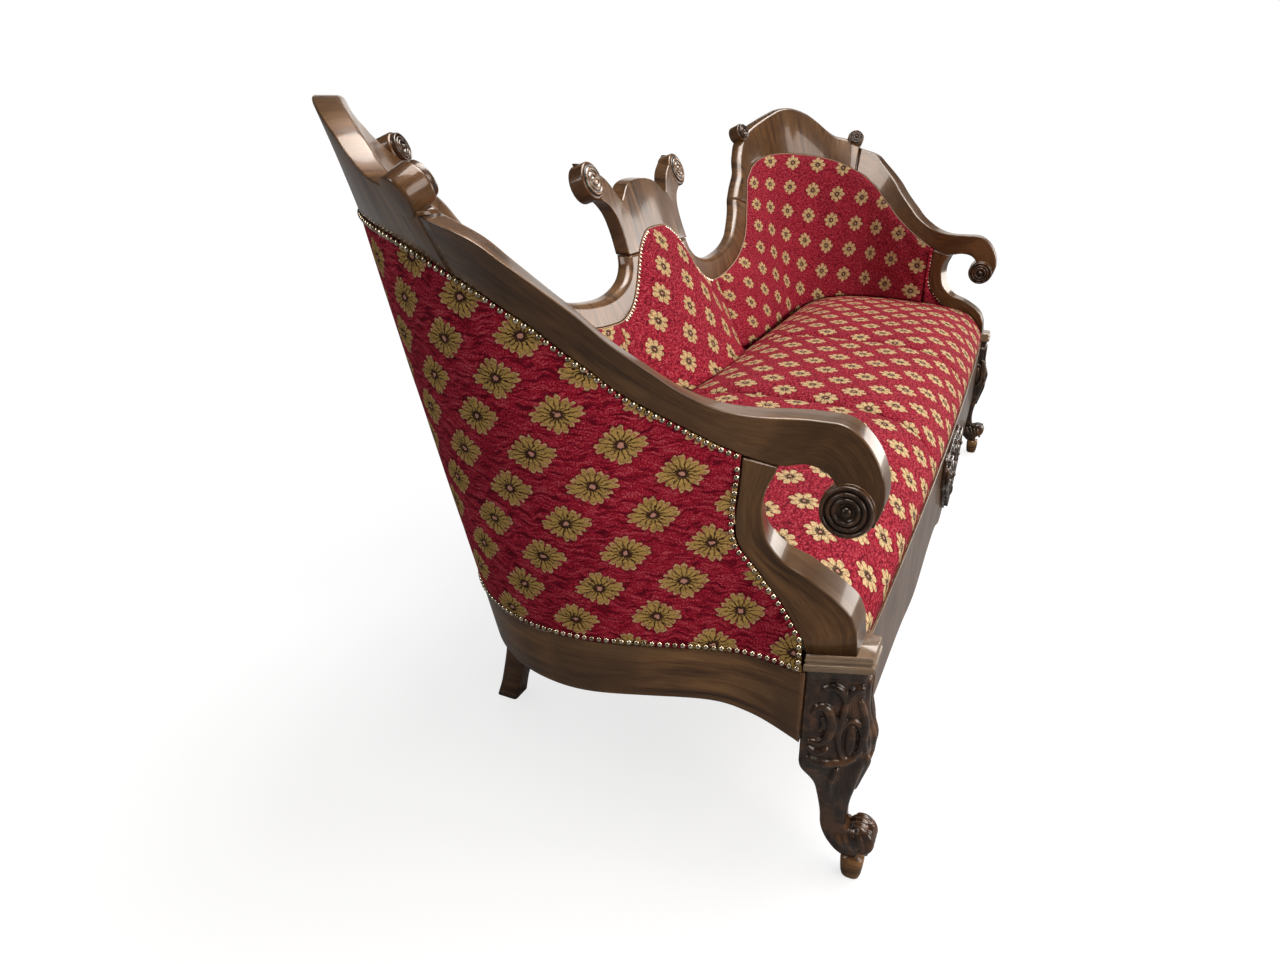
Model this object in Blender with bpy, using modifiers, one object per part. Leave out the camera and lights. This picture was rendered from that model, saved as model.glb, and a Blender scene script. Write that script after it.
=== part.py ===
# A three-seater show-wood sofa with a triple back, in metres, standing on z = 0.
# It is symmetric about x = 0 and faces -y. Most pieces follow one curved shell: the outer face of
# the sides, corners and back. A place on the shell is (u, z), where u runs from 0 at the front of
# a side, through 1 and 2 at the ends of the corner, to 3 at the middle of the back.

from math import cos, pi, sin

import bmesh
import bpy
from mathutils import Matrix, Vector

collection_name = "three_seater_sofa"

# Clearance between pieces that touch, and between the upholstery and the curved show-wood over it
gap = 0.0003
fabric_gap = 0.0018

# Heights
rail_top = 0.375
crest_height = 1.06
leg_height = 0.380

# Plan of the shell at the seat rail, and at the height of the crests: depths count back from the front
front_y = -0.4017
base_front_x = 0.978
base_side_x = 1.049
base_depth = 0.645
base_corner_radius = 0.24
base_swell_depth = 0.095
top_front_x = 0.898
top_side_x = 1.122
top_depth = 0.8418
top_corner_radius = 0.3765
top_swell_depth = 0.073
probe = 0.001

# Points of a turned piece or a spring closer than this are one point
weld = 0.00001

# Thicknesses, all measured inwards from the shell
show_wood_thick = 0.043
seat_rail_thick = 0.045
cover_thick = 0.005
post_thick = 0.024
post_width = 0.055
post_depth = cover_thick + 2 * fabric_gap
pad_back_depth = post_depth + post_thick + gap

# Outlines, as (u, height) shares: the height counts from the rail's top, in rises of the back
back_rise = crest_height - rail_top
nail_shares = [(0.40, 0.404), (0.48, 0.430), (0.56, 0.463), (0.635, 0.496), (0.705, 0.531), (0.765, 0.571),
               (0.83, 0.610), (0.885, 0.645), (0.96, 0.679), (1.04, 0.712), (1.10, 0.732), (1.18, 0.758),
               (1.31, 0.782), (1.50, 0.798), (1.65, 0.799), (1.80, 0.783), (1.935, 0.750), (2.045, 0.704),
               (2.105, 0.632), (2.165, 0.555), (2.235, 0.478), (2.35, 0.415), (2.49, 0.379), (2.62, 0.366),
               (2.675, 0.374), (2.73, 0.401), (2.78, 0.450), (2.82, 0.504), (2.86, 0.559), (2.905, 0.594),
               (2.94, 0.609), (3.00, 0.612)]
lean_shares = [(0.0, 0.0), (0.3, 0.0), (0.5, 0.35), (0.7, 0.42), (1.0, 0.5), (1.1, 0.45), (1.3, 0.2),
               (1.5, 0.06), (1.7, 0.06), (1.9, 0.15), (2.05, 0.2), (2.2, 0.15), (2.35, 0.0), (3.0, 0.0)]
# Thickness of the show-wood along u
wood_shares = [(0.0, 1.0), (0.35, 1.0), (0.7, 0.86), (1.0, 0.84), (3.0, 0.84)]
arm_top_shares = [(1.058, 0.822), (0.96, 0.794), (0.90, 0.756), (0.838, 0.715), (0.775, 0.672),
                  (0.708, 0.620), (0.63, 0.572), (0.55, 0.527), (0.45, 0.492), (0.338, 0.476),
                  (0.217, 0.476), (0.125, 0.473), (0.055, 0.441), (0.010, 0.392), (-0.001, 0.345),
                  (0.018, 0.300)]
arm_foot_shares = [1.073, 0.985, 0.925, 0.867, 0.805, 0.74, 0.665, 0.58, 0.48, 0.40]
arm_under_shares = [(0.301, 0.387), (0.236, 0.394), (0.19, 0.391), (0.154, 0.378), (0.125, 0.352),
                    (0.098, 0.320)]
joint_share = 0.002
curve_share = 0.0014
step_share = 0.11
crest_shares = [(1.058, 0.828, 1.075), (1.10, 0.848, 1.11), (1.14, 0.864, 1.15), (1.20, 0.875, 1.20),
                (1.25, 0.901, 1.25), (1.30, 0.936, 1.31), (1.36, 0.971, 1.36), (1.42, 0.991, 1.42),
                (1.485, 1.0, 1.485), (1.55, 0.993, 1.55), (1.61, 0.975, 1.61), (1.69, 0.950, 1.68),
                (1.77, 0.924, 1.75), (1.84, 0.900, 1.80), (1.89, 0.880, 1.84), (1.93, 0.858, 1.89),
                (1.975, 0.832, 1.95), (2.032, 0.787, 2.01), (2.077, 0.728, 2.053), (2.138, 0.676, 2.09),
                (2.187, 0.631, 2.125)]
valley_shares = [(2.187, 0.631, 2.125), (2.229, 0.584, 2.17), (2.29, 0.536, 2.225), (2.365, 0.490, 2.33),
                 (2.45, 0.461, 2.44), (2.54, 0.447, 2.55), (2.61, 0.444, 2.64), (2.68, 0.455, 2.71),
                 (2.735, 0.476, 2.765), (2.77, 0.508, 2.805), (2.784, 0.5435, 2.848)]
center_side_shares = [(2.850, 0.546), (2.783, 0.546), (2.786, 0.605), (2.778, 0.662), (2.753, 0.700),
                      (2.72, 0.722)]
center_horn_shares = [(2.690, 0.829), (2.735, 0.806), (2.79, 0.770), (2.834, 0.712), (2.86, 0.722),
                      (2.90, 0.752), (2.95, 0.765), (3.0, 0.768)]
center_lean_share = 0.07
center_reach_share = 2.6
stile_shares = [(0.303, 0.3840, 0.400, 0.4000), (0.316, 0.364, 0.403, 0.370), (0.333, 0.338, 0.407, 0.335),
                (0.340, 0.309, 0.413, 0.300),
                (0.336, 0.279, 0.414, 0.262), (0.325, 0.248, 0.407, 0.236), (0.296, 0.220, 0.388, 0.214),
                (0.257, 0.200, 0.356, 0.190), (0.192, 0.184, 0.311, 0.156), (0.137, 0.166, 0.270, 0.130),
                (0.090, 0.147, 0.234, 0.106), (0.050, 0.123, 0.204, 0.083), (0.028, 0.092, 0.182, 0.068)]
stile_foot_shares = (0.018, 0.166)

# Thickness of the arm support by its height
stile_thick_shares = [(0.0, 1.42), (0.12, 1.36), (0.25, 1.15), (0.40, 1.0)]

# Seat rails and apron
side_rail_shares = [(0.165, 0.304), (0.26, 0.264), (0.35, 0.235), (0.48, 0.213), (0.70, 0.227),
                    (0.93, 0.251), (1.10, 0.253), (1.29, 0.253), (1.48, 0.253), (1.67, 0.253),
                    (1.86, 0.253), (2.05, 0.253)]
side_rail_end_share = 2.05
apron_height = 0.185
apron_thick = 0.028
apron_bow = 0.012
apron_inset = 0.006
apron_edge_shares = [(-1.0, 0.97), (-0.85, 0.95), (-0.62, 0.97), (-0.42, 1.10), (-0.24, 0.98),
                     (-0.12, 0.99), (0.0, 1.16), (0.12, 0.99), (0.24, 0.98), (0.42, 1.10),
                     (0.62, 0.97), (0.85, 0.95), (1.0, 0.97)]
ornament_length = 0.27
ornament_height = 0.180
ornament_thick = 0.020
ornament_drop = 0.004
ornament_shares = [(0.50, 0.14), (0.45, 0.02), (0.30, 0.04), (0.15, 0.01), (0.0, 0.0)]
ornament_under_shares = [(0.50, 0.30), (0.43, 0.46), (0.32, 0.54), (0.20, 0.76), (0.10, 0.88), (0.0, 1.0)]

# Front legs: the block is square on plan, and the rest of the leg is a share of it
block_width = 0.068
block_depth = 0.079
block_inset = 0.002
block_proud = 0.012
foot_block_height = 0.034
foot_block_width = 0.034
toe_front_share = -0.85

# On plan the blocks' outer faces slope outwards to the back, and the shell behind and above them eases
# from their faces to its own
block_turn_share = 0.36
turn_fade_depth = 0.10
turn_fade_height = 0.14
turn_level_shares = (0.42, 0.60)

# The toe's scroll
toe_sides = 14
toe_radius = 0.022
toe_width = 0.046
# height share, then front and back edges in block depths, half width in block widths, corner share
leg_shares = [(1.0, -0.50, 0.50, 0.50, 0.04), (0.80, -0.51, 0.50, 0.50, 0.05),
              (0.735, -0.68, 0.50, 0.50, 0.05), (0.645, -0.70, 0.50, 0.50, 0.07),
              (0.555, -0.62, 0.48, 0.48, 0.14), (0.465, -0.53, 0.27, 0.38, 0.28),
              (0.385, -0.45, 0.18, 0.30, 0.30), (0.31, -0.42, 0.12, 0.27, 0.30),
              (0.25, -0.50, 0.10, 0.27, 0.28), (0.21, -0.72, 0.06, 0.28, 0.28),
              (0.17, -0.82, -0.03, 0.30, 0.28), (0.135, -0.80, -0.17, 0.28, 0.28),
              (0.11, -0.72, -0.30, 0.24, 0.28)]
foot_center_share = -0.54
foot_inward = 0.012
foot_inward_share = 0.46
foot_block_shares = [(0.0, 0.72), (0.25, 0.9), (1.0, 1.0)]
foot_block_corner_share = 0.2
toe_place_shares = (0.88, 0.185, 0.4)
corner_mid_share = 0.3

# Moulded cap between the front leg and the arm support: height share and overhang share
cap_height = 0.024
cap_overhang = 0.004
cap_shares = [(0.0, 0.55), (0.12, 1.0), (0.42, 1.0), (0.50, 0.45), (0.68, 0.20), (0.80, 0.25), (1.0, 0.25)]

# Rear legs
rear_leg_width = 0.045
rear_leg_u_share = 1.93
rear_leg_depth = 0.024
rear_leg_rake = 0.086
rear_leg_inward = 0.056
rear_leg_curve_share = 1.3
rear_leg_level_shares = (0.0, 0.5, 1.0)

# Scrolls and their turned rosettes
arm_scroll_share = (0.098, 0.320)
arm_scroll_radius = 0.035
arm_rosette_radius = 0.034
crest_scroll_shares = [(1.0875, 0.858), (1.9025, 0.8885)]
crest_scroll_radius = 0.026
crest_rosette_radius = 0.0225
center_scroll_share = (2.699, 0.772)
center_scroll_radius = 0.041
center_rosette_radius = 0.034
scroll_proud = 0.002
rosette_thick = 0.009
# radius share and thickness share, from the rim's back to the middle
rosette_shares = [(1.0, 0.0), (1.0, 0.45), (0.88, 0.75), (0.72, 0.40), (0.56, 0.80), (0.40, 0.45),
                  (0.22, 1.0)]
rosette_steps = 12

# Posts inside the back, and cross rails under the seat
corner_post_share = 1.50
valley_post_share = 2.62
stretcher_x = 0.33
stretcher_width = 0.040
stretcher_height = 0.036
corner_block_width = 0.055
corner_block_height = 0.060
frame_start_share = 0.012
frame_steps = 5
frame_turn_steps = 8
post_steps = 4
post_probe_share = 0.01

# Webbing, dust cover and hessian
webbing_width = 0.050
webbing_thick = 0.002
webbing_height = 0.2985
dust_cover_height = 0.2960
cloth_thick = 0.0012
webbing_x_shares = [-0.80, -0.60, -0.337, 0.0, 0.337, 0.60, 0.80]
webbing_y_shares = [0.20, 0.50, 0.80]
webbing_reach = 0.915

# Springs
spring_radius = 0.042
spring_waist_share = 0.72
spring_wire = 0.0038
spring_turns = 4
spring_points = 9
spring_x = (0.165, 0.55)
spring_y_share = 0.50

# Seat pads
seat_seam_x = 0.27
seat_edge_rise = 0.058
seat_crown = 0.072
seat_front_radius = 0.062
seat_back_depth = 0.062
seat_side_depth = 0.052
seat_side_gap = 0.0104
seat_front_inset = 0.003
seat_lip = 0.006
seat_turn_share = 1.45
seat_side_fall_share = 0.6
seat_columns = 12
seat_rows = 12
seat_row_share = 1.25
seat_ease_shares = (0.38, 0.68)

seat_pad_foot = rail_top + 2 * gap + cloth_thick
seat_side_x = base_front_x - show_wood_thick * stile_thick_shares[0][1] - seat_side_gap

# Outside covers: where the side's cover meets the arm support, as (height, u), and the seams
cover_foot_shares = [(0.0, 0.174), (0.038, 0.180)]
cover_start_share = 0.408
cover_seam_share = 2.0
cover_back_steps = 3

# Back pads
pad_levels = 8
corner_pad_start_shares = (0.46, 0.412)
corner_pad_swell = 0.040
corner_hollow_share = 0.55
corner_edge_share = 0.35
corner_edge_width_share = 0.1
center_pad_swell = 0.095
center_fall_share = 0.8
center_side_share = 0.75
center_turn_share = 2.5
pad_top_proud = 0.0015
pad_crease_share = 2.62
pad_foot_shares = [0.3, 0.65, 1.0]
pad_clearance = 0.0012


def between(table, u, column=1):
    """straight-line value of a table of shares at u, whose first column rises or falls"""
    rows = table if table[0][0] < table[-1][0] else table[::-1]
    if u <= rows[0][0]:
        return rows[0][column]
    for a, b in zip(rows, rows[1:]):
        if u <= b[0]:
            return a[column] + (b[column] - a[column]) * (u - a[0]) / (b[0] - a[0])
    return rows[-1][column]


def smooth_rows(rows, steps):
    """rows of numbers, with steps - 1 rows more between each two on one smooth curve"""
    rows = [Vector(row) for row in rows]
    ends = [2 * rows[0] - rows[1]] + rows + [2 * rows[-1] - rows[-2]]
    result = []
    for a, b, c, d in zip(ends, ends[1:], ends[2:], ends[3:]):
        for k in range(steps):
            t = k / steps
            result.append(0.5 * (2 * b + (c - a) * t + (2 * a - 5 * b + 4 * c - d) * t * t
                                 + (3 * b - a - 3 * c + d) * t ** 3))
    return result + [rows[-1]]


nail_line_shares = [tuple(row) for row in smooth_rows(nail_shares, 3)]


def nail_stations(first, last):
    """places along the nail line from first to last, closer together where it curves more"""
    line = [row for row in nail_line_shares if first < row[0] < last]
    line = [(u, between(nail_line_shares, u)) for u in (first, *[row[0] for row in line], last)]
    chosen, start = [first], 0
    for end in range(2, len(line)):
        (u0, z0), (u1, z1) = line[start], line[end]
        off = max(abs(z0 + (z1 - z0) * (u - u0) / (u1 - u0) - z) for u, z in line[start + 1:end])
        if off > curve_share or u1 - u0 > step_share:
            start = end - 1
            chosen.append(line[start][0])
    return chosen + [last]


def ease(t):
    t = min(1.0, max(0.0, t))
    return t * t * (3 - 2 * t)


def mixed(low, high, t):
    return low + (high - low) * t


def mix(low, high, z):
    """a plan size at height z, from its values at the seat rail and at the crests"""
    return mixed(low, high, (z - rail_top) / back_rise)


def corner_depth(z):
    """how far behind the front the corner starts"""
    return mix(base_depth - base_corner_radius, top_depth - top_corner_radius, z)


def shell_plan(u, z):
    side_x = mix(base_side_x, top_side_x, z)
    radius = mix(base_corner_radius, top_corner_radius, z)
    corner_y = front_y + corner_depth(z)
    middle_x = side_x - radius
    if u <= 1:
        y = front_y + (corner_y - front_y) * u
        front_x = mix(base_front_x, top_front_x, z)
        swell_y = front_y + mix(base_swell_depth, top_swell_depth, z)
        return Vector((front_x + (side_x - front_x) * ease((y - swell_y) / (corner_y - swell_y)), y))
    if u <= 2:
        angle = (u - 1) * pi / 2
        return Vector((middle_x + radius * cos(angle), corner_y + radius * sin(angle)))
    return Vector((middle_x * (3 - u), corner_y + radius))


def inward(u, z):
    along = shell_plan(min(u + probe, 3), z) - shell_plan(min(u, 3 - probe) - probe, z)
    return Vector((-along.y, along.x)).normalized()


def height(share):
    return rail_top + share * back_rise


def nail_height(u):
    return height(between(nail_line_shares, u))


def block_back():
    return front_y - block_proud + block_depth


def beside_block(y):
    """1 beside the front leg's block, easing to 0 behind it"""
    return 1 - ease((y - block_back()) / turn_fade_depth)


def block_turn(y, z):
    """how far outwards the front leg's block, and the shell beside it, moves at a place"""
    half = block_depth / 2
    above = 1 - ease((z - leg_height - cap_height) / turn_fade_height)
    return block_turn_share * min(y - block_back() + half, half) * beside_block(y) * above


def shell(u, z, depth, lean=False):
    """the point at depth inside the shell; show-wood leans out further above the nail line"""
    out = 0.0
    if lean:
        out = between(lean_shares, u) * max(0.0, z - nail_height(u))
    if lean and u > center_reach_share:
        out += center_lean_share * max(0.0, z - height(center_side_shares[0][1]))
    place = shell_plan(u, z) + inward(u, z) * (depth - out)
    flare = max(0.0, mix(base_front_x, top_front_x, z) - base_front_x) * beside_block(place.y)
    return Vector((place.x + block_turn(place.y, z) - flare, place.y, z))


def u_at(x, z):
    """the u of a place on the straight back"""
    return 3 - x / (mix(base_side_x, top_side_x, z) - mix(base_corner_radius, top_corner_radius, z))


def material(name, color, roughness, metallic=0.0):
    made = bpy.data.materials.get(name)
    if made is None:
        made = bpy.data.materials.new(name)
        made.use_nodes = True
        shader = made.node_tree.nodes["Principled BSDF"]
        shader.inputs["Base Color"].default_value = (*color, 1)
        shader.inputs["Roughness"].default_value = roughness
        shader.inputs["Metallic"].default_value = metallic
    return made


def walnut(name):
    return material(name + "_walnut", (0.13, 0.06, 0.03), 0.3)


def carved(name):
    return material(name + "_carved", (0.03, 0.018, 0.014), 0.45)


def beech(name):
    return material(name + "_beech", (0.42, 0.27, 0.15), 0.6)


def crimson(name):
    return material(name + "_fabric", (0.36, 0.01, 0.03), 0.9)


def linen(name):
    return material(name + "_cloth", (0.38, 0.30, 0.20), 0.95)


def steel(name):
    return material(name + "_steel", (0.5, 0.48, 0.45), 0.4, 1.0)


def add(name, mesh, finish):
    piece = bpy.data.objects.new(name, mesh)
    parts.objects.link(piece)
    mesh.materials.clear()
    mesh.materials.append(finish(name))
    return piece


def mesh_of(name, points, faces):
    mesh = bpy.data.meshes.new(name)
    mesh.from_pydata(points, [], faces)
    tidy = bmesh.new()
    tidy.from_mesh(mesh)
    bmesh.ops.recalc_face_normals(tidy, faces=tidy.faces)
    if tidy.calc_volume(signed=True) < 0:
        bmesh.ops.reverse_faces(tidy, faces=tidy.faces)
    tidy.to_mesh(mesh)
    tidy.free()
    return mesh


def skin(outer, inner):
    """points and faces of the closed solid between two grids of the same rows and columns"""
    rows, columns = len(outer), len(outer[0])
    points = [point for grid in (outer, inner) for row in grid for point in row]

    def index(side, row, column):
        return (side * rows + row) * columns + column

    faces = []
    for row in range(rows - 1):
        for column in range(columns - 1):
            corners = [(row, column), (row, column + 1), (row + 1, column + 1), (row + 1, column)]
            faces.append([index(0, *corner) for corner in corners])
            faces.append([index(1, *corner) for corner in reversed(corners)])
    rim = [(0, column) for column in range(columns)] + [(row, columns - 1) for row in range(1, rows)]
    rim += [(rows - 1, column) for column in range(columns - 2, -1, -1)]
    rim += [(row, 0) for row in range(rows - 2, 0, -1)]
    for a, b in zip(rim, rim[1:] + rim[:1]):
        faces.append([index(0, *b), index(0, *a), index(1, *a), index(1, *b)])
    return points, faces


def loft(rings):
    """points and faces of a closed solid through rings of the same count, with flat ends"""
    count = len(rings[0])
    points = [point for ring in rings for point in ring]
    faces = [list(range(count))[::-1], list(range(len(points) - count, len(points)))]
    for low in range(0, len(points) - count, count):
        high = low + count
        for k in range(count):
            after = (k + 1) % count
            faces.append([low + k, low + after, high + after, high + k])
    return points, faces


def prism(outline, shift):
    """points and faces of an outline moved along shift"""
    count = len(outline)
    points = [Vector(point) for point in outline] + [Vector(point) + shift for point in outline]
    faces = [list(range(count)), list(range(count, 2 * count))[::-1]]
    faces += [[(k + 1) % count, k, k + count, (k + 1) % count + count] for k in range(count)]
    return points, faces


def wood_thick(u):
    return show_wood_thick * between(wood_shares, u)


def ribbon(stations, steps=2):
    """show-wood between an upper edge, (u, height share) of each station, and the nail line at its last u"""
    rows = []
    for row in smooth_rows(stations, steps):
        free = len(row) == 4 and row[2] < nail_shares[0][0]
        rows.append(row if free else (*row[:3], between(nail_line_shares, row[2])))
    return skin(*[[[shell(u, height(share), side * wood_thick(u), True) for u, share in (row[:2], row[2:])]
                   for row in rows] for side in (0, 1)])


def mirrored(piece, name):
    """the left-hand twin of a right-hand piece"""
    mesh = piece.data.copy()
    mesh.transform(Matrix.Scale(-1, 4, Vector((1, 0, 0))))
    mesh.flip_normals()
    mesh.name = name
    return mesh


def pair(stem, mesh, finish):
    right = add(stem + "_right", mesh, finish)
    add(stem + "_left", mirrored(right, stem + "_left"), finish)
    return right


def disc(center, axis, radius, thick, steps=18):
    """a round block whose flat faces are square to the axis, standing on its center both ways"""
    made = bmesh.new()
    turn = axis.to_track_quat("Z", "Y").to_matrix().to_4x4()
    bmesh.ops.create_cone(made, cap_ends=True, segments=steps, radius1=radius, radius2=radius, depth=thick,
                          matrix=Matrix.Translation(center) @ turn)
    mesh = bpy.data.meshes.new("disc")
    made.to_mesh(mesh)
    made.free()
    return mesh


def united(mesh, others):
    """one mesh from several that overlap"""
    body = bpy.data.objects.new("body", mesh)
    cutters.objects.link(body)
    for other in others:
        tool = bpy.data.objects.new("joined", other)
        cutters.objects.link(tool)
        join = body.modifiers.new("join", "BOOLEAN")
        join.operation = "UNION"
        join.object = tool
    bpy.context.view_layer.update()
    result = bpy.data.meshes.new_from_object(body.evaluated_get(bpy.context.evaluated_depsgraph_get()))
    for leftover in list(cutters.objects):
        bpy.data.objects.remove(leftover)
    return result


def scroll_at(share):
    """center of a scroll, the axis square to its face that points inwards, and its thickness"""
    u, z = share[0], height(share[1])
    half = wood_thick(u) / 2
    along = shell(u + probe, z, half, True) - shell(u - probe, z, half, True)
    up = shell(u, z + probe, half, True) - shell(u, z - probe, half, True)
    axis = up.cross(along).normalized()
    if u > 2:
        axis = Vector((0, axis.y, axis.z)).normalized()
    turn = inward(u, z)
    flat = axis.x * turn.x + axis.y * turn.y
    return shell(u, z, half, True), axis if flat > 0 else -axis, 2 * (abs(flat) * half + scroll_proud)


def scroll_disc(share, radius, steps=18):
    center, axis, thick = scroll_at(share)
    return disc(center, axis, radius, thick, steps)


def rosette(name, share, radius, outwards=False):
    center, axis, thick = scroll_at(share)
    if outwards:
        axis = -axis
    seat = center + axis * (thick / 2 + gap)
    mesh = bpy.data.meshes.new(name)
    rim = [(radius * r, 0, rosette_thick * t) for r, t in rosette_shares]
    outline = [(0, 0, rosette_thick * rosette_shares[-1][1])] + rim[::-1] + [(0, 0, 0)]
    mesh.from_pydata(outline, [(k, k + 1) for k in range(len(outline) - 1)], [])
    piece = add(name, mesh, carved)
    turn = piece.modifiers.new("turned", "SCREW")
    turn.steps = turn.render_steps = rosette_steps
    turn.use_merge_vertices = True
    turn.merge_threshold = weld
    piece.matrix_world = Matrix.Translation(seat) @ axis.to_track_quat("Z", "Y").to_matrix().to_4x4()
    return piece


def flip(piece, name):
    """the left-hand twin of a turned piece"""
    twin = piece.copy()
    twin.name = name
    twin.data = piece.data.copy()
    twin.data.materials.clear()
    twin.data.materials.append(carved(name))
    parts.objects.link(twin)
    place = piece.matrix_world
    axis = place.to_3x3() @ Vector((0, 0, 1))
    seat = place.translation
    axis.x, seat = -axis.x, Vector((-seat.x, seat.y, seat.z))
    twin.matrix_world = Matrix.Translation(seat) @ axis.to_track_quat("Z", "Y").to_matrix().to_4x4()


def make_side_rails():
    rows = smooth_rows(side_rail_shares, 3)
    grids = []
    for depth in (0.0, seat_rail_thick):
        grid = []
        for u, drop in rows:
            ring = []
            for z in (rail_top * (1 - drop), rail_top):
                start = (block_back() + gap - front_y) / corner_depth(z)
                ring.append(shell(max(u, start), z, depth))
            grid.append(ring)
        grids.append(grid)
    pair("side_rail", mesh_of("side_rail", *skin(*grids)), walnut)


def make_back_rail():
    low = rail_top * (1 - side_rail_shares[-1][1])
    end = side_rail_end_share
    grids = []
    for depth in (0.0, seat_rail_thick):
        grid = []
        for side in (1, -1):
            ring = []
            for z in (low, rail_top):
                place = shell(end, z, depth)
                ring.append(Vector((side * (place.x - gap), place.y, z)))
            grid.append(ring)
        grids.append(grid)
    add("back_rail", mesh_of("back_rail", *skin(*grids)), walnut)


def block_place():
    """lowest and highest x and y of the front leg's block"""
    high_x = base_front_x - block_inset
    return high_x - block_width, high_x, front_y - block_proud, block_back()


def apron_front(x):
    reach = block_place()[0]
    return front_y + apron_inset - apron_bow * (1 - (x / reach) ** 2)


def apron_back():
    return front_y + apron_inset + apron_thick


def make_front_rail():
    reach = block_place()[0] - gap
    outer, inner = [], []
    for share, drop in smooth_rows(apron_edge_shares, 3):
        x = share * reach
        low = rail_top - apron_height * drop
        outer.append([Vector((x, apron_front(x), z)) for z in (low, rail_top)])
        inner.append([Vector((x, apron_back(), z)) for z in (low, rail_top)])
    add("front_rail", mesh_of("front_rail", *skin(outer, inner)), walnut)


def make_ornament():
    top = rail_top - ornament_drop
    half = smooth_rows(ornament_shares, 2)[::-1] + smooth_rows(ornament_under_shares, 3)
    loop = [(x, drop) for x, drop in half] + [(-x, drop) for x, drop in half[-2:0:-1]]
    outline = [Vector((x * ornament_length, apron_front(0) - gap, top - drop * ornament_height))
               for x, drop in loop]
    solid = prism(outline, Vector((0, -ornament_thick, 0)))
    add("front_ornament", mesh_of("front_ornament", *solid), carved)


def rounded(center_x, half_x, front, back, z, corner):
    """a ring of twelve points: a rectangle with cut corners"""
    half_y = (back - front) / 2
    center_y = (back + front) / 2
    cut = corner * 2 * min(half_x, half_y)
    mid = cut * corner_mid_share
    ring = []
    for sx, sy in ((1, 1), (-1, 1), (-1, -1), (1, -1)):
        steps = [(half_x, half_y - cut), (half_x - mid, half_y - mid), (half_x - cut, half_y)]
        if sx * sy < 0:
            steps = steps[::-1]
        ring += [Vector((center_x + sx * x, center_y + sy * y, z)) for x, y in steps]
    return ring


def make_front_legs():
    low_x, high_x, low_y, high_y = block_place()
    center_y = (low_y + high_y) / 2
    rings = []
    for share, front, back, half, corner in leg_shares:
        z = share * leg_height - (gap if share == 1 else 0)
        center_x = (low_x + high_x) / 2 - foot_inward * (1 - ease(share / foot_inward_share))
        ring = rounded(center_x, half * block_width, center_y + front * block_depth,
                       center_y + back * block_depth, z, corner)
        low, high = turn_level_shares
        upper = ease((share - low) / (high - low))
        for point in ring:
            if point.x > center_x:
                point.x += upper * block_turn(point.y, z)
        rings.append(ring)
    foot_x = (low_x + high_x) / 2 - foot_inward
    back_share, height_share, lift_share = toe_place_shares
    toe_y = center_y + toe_front_share * block_depth + toe_radius * back_share
    toe = disc(Vector((foot_x, toe_y, height_share * leg_height + toe_radius * lift_share)),
               Vector((1, 0, 0)), toe_radius, toe_width, toe_sides)
    pair("front_leg", united(mesh_of("leg", *loft(rings)), [toe]), carved)
    foot_y = center_y + foot_center_share * block_depth
    top = leg_shares[-1][0] * leg_height - gap
    rings = [rounded(foot_x, share * foot_block_width / 2, foot_y - share * foot_block_width / 2,
                     foot_y + share * foot_block_width / 2, level * top, foot_block_corner_share)
             for level, share in foot_block_shares]
    pair("foot_block", mesh_of("foot_block", *loft(rings)), beech)


def make_leg_caps():
    low_x, high_x, low_y, high_y = block_place()
    rings = []
    for level, share in cap_shares:
        out = share * cap_overhang
        side, back, front = high_x + out, high_y + out / 2, low_y - out
        z = leg_height + level * cap_height
        corners = [(side + block_turn(back, leg_height), back), (low_x, back), (low_x, front),
                   (side + block_turn(front, leg_height), front)]
        rings.append([Vector((x, y, z)) for x, y in corners])
    pair("leg_cap", mesh_of("leg_cap", *loft(rings)), walnut)


def make_rear_legs():
    top = rail_top * (1 - side_rail_shares[-1][1]) - gap
    start = shell(rear_leg_u_share, top, rear_leg_depth)
    half = rear_leg_width / 2
    rings = []
    for level in rear_leg_level_shares:
        run = (1 - level) ** rear_leg_curve_share
        x, y = start.x - rear_leg_inward * run, start.y + rear_leg_rake * run
        rings.append([Vector((x + sx * half, y + sy * half, level * top))
                      for sx, sy in ((1, 1), (-1, 1), (-1, -1), (1, -1))])
    pair("rear_leg", mesh_of("rear_leg", *loft(rings)), walnut)


def make_arm_stiles():
    rows = [list(row) for row in smooth_rows(stile_shares, 2)]
    foot = (leg_height + cap_height + gap - rail_top) / back_rise
    rows.append([stile_foot_shares[0], foot, stile_foot_shares[1], foot])
    grids = [[[shell(u, height(share), side * show_wood_thick * between(stile_thick_shares, share))
               for u, share in (row[:2], row[2:])] for row in rows] for side in (0, 1)]
    pair("arm_stile", mesh_of("arm_stile", *skin(*grids)), walnut)


def arm_stations():
    under = [(u, between(nail_line_shares, u)) for u in arm_foot_shares] + list(arm_under_shares)
    return [(*top, *low) for top, low in zip(arm_top_shares, under)]


def make_arm_rails():
    body = mesh_of("arm", *ribbon(arm_stations()))
    pair("arm_rail", united(body, [scroll_disc(arm_scroll_share, arm_scroll_radius, 20)]), walnut)


def make_crests():
    (first, share, foot), *others = crest_shares
    body = mesh_of("crest", *ribbon([(first + joint_share, share, foot + joint_share), *others]))
    discs = [scroll_disc(share, crest_scroll_radius) for share in crest_scroll_shares]
    pair("crest", united(body, discs), walnut)


def make_valley_rails():
    (first, share, foot), *others = valley_shares
    body = mesh_of("valley_rail", *ribbon([(first + joint_share, share, foot + joint_share), *others]))
    pair("valley_rail", body, walnut)


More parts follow.
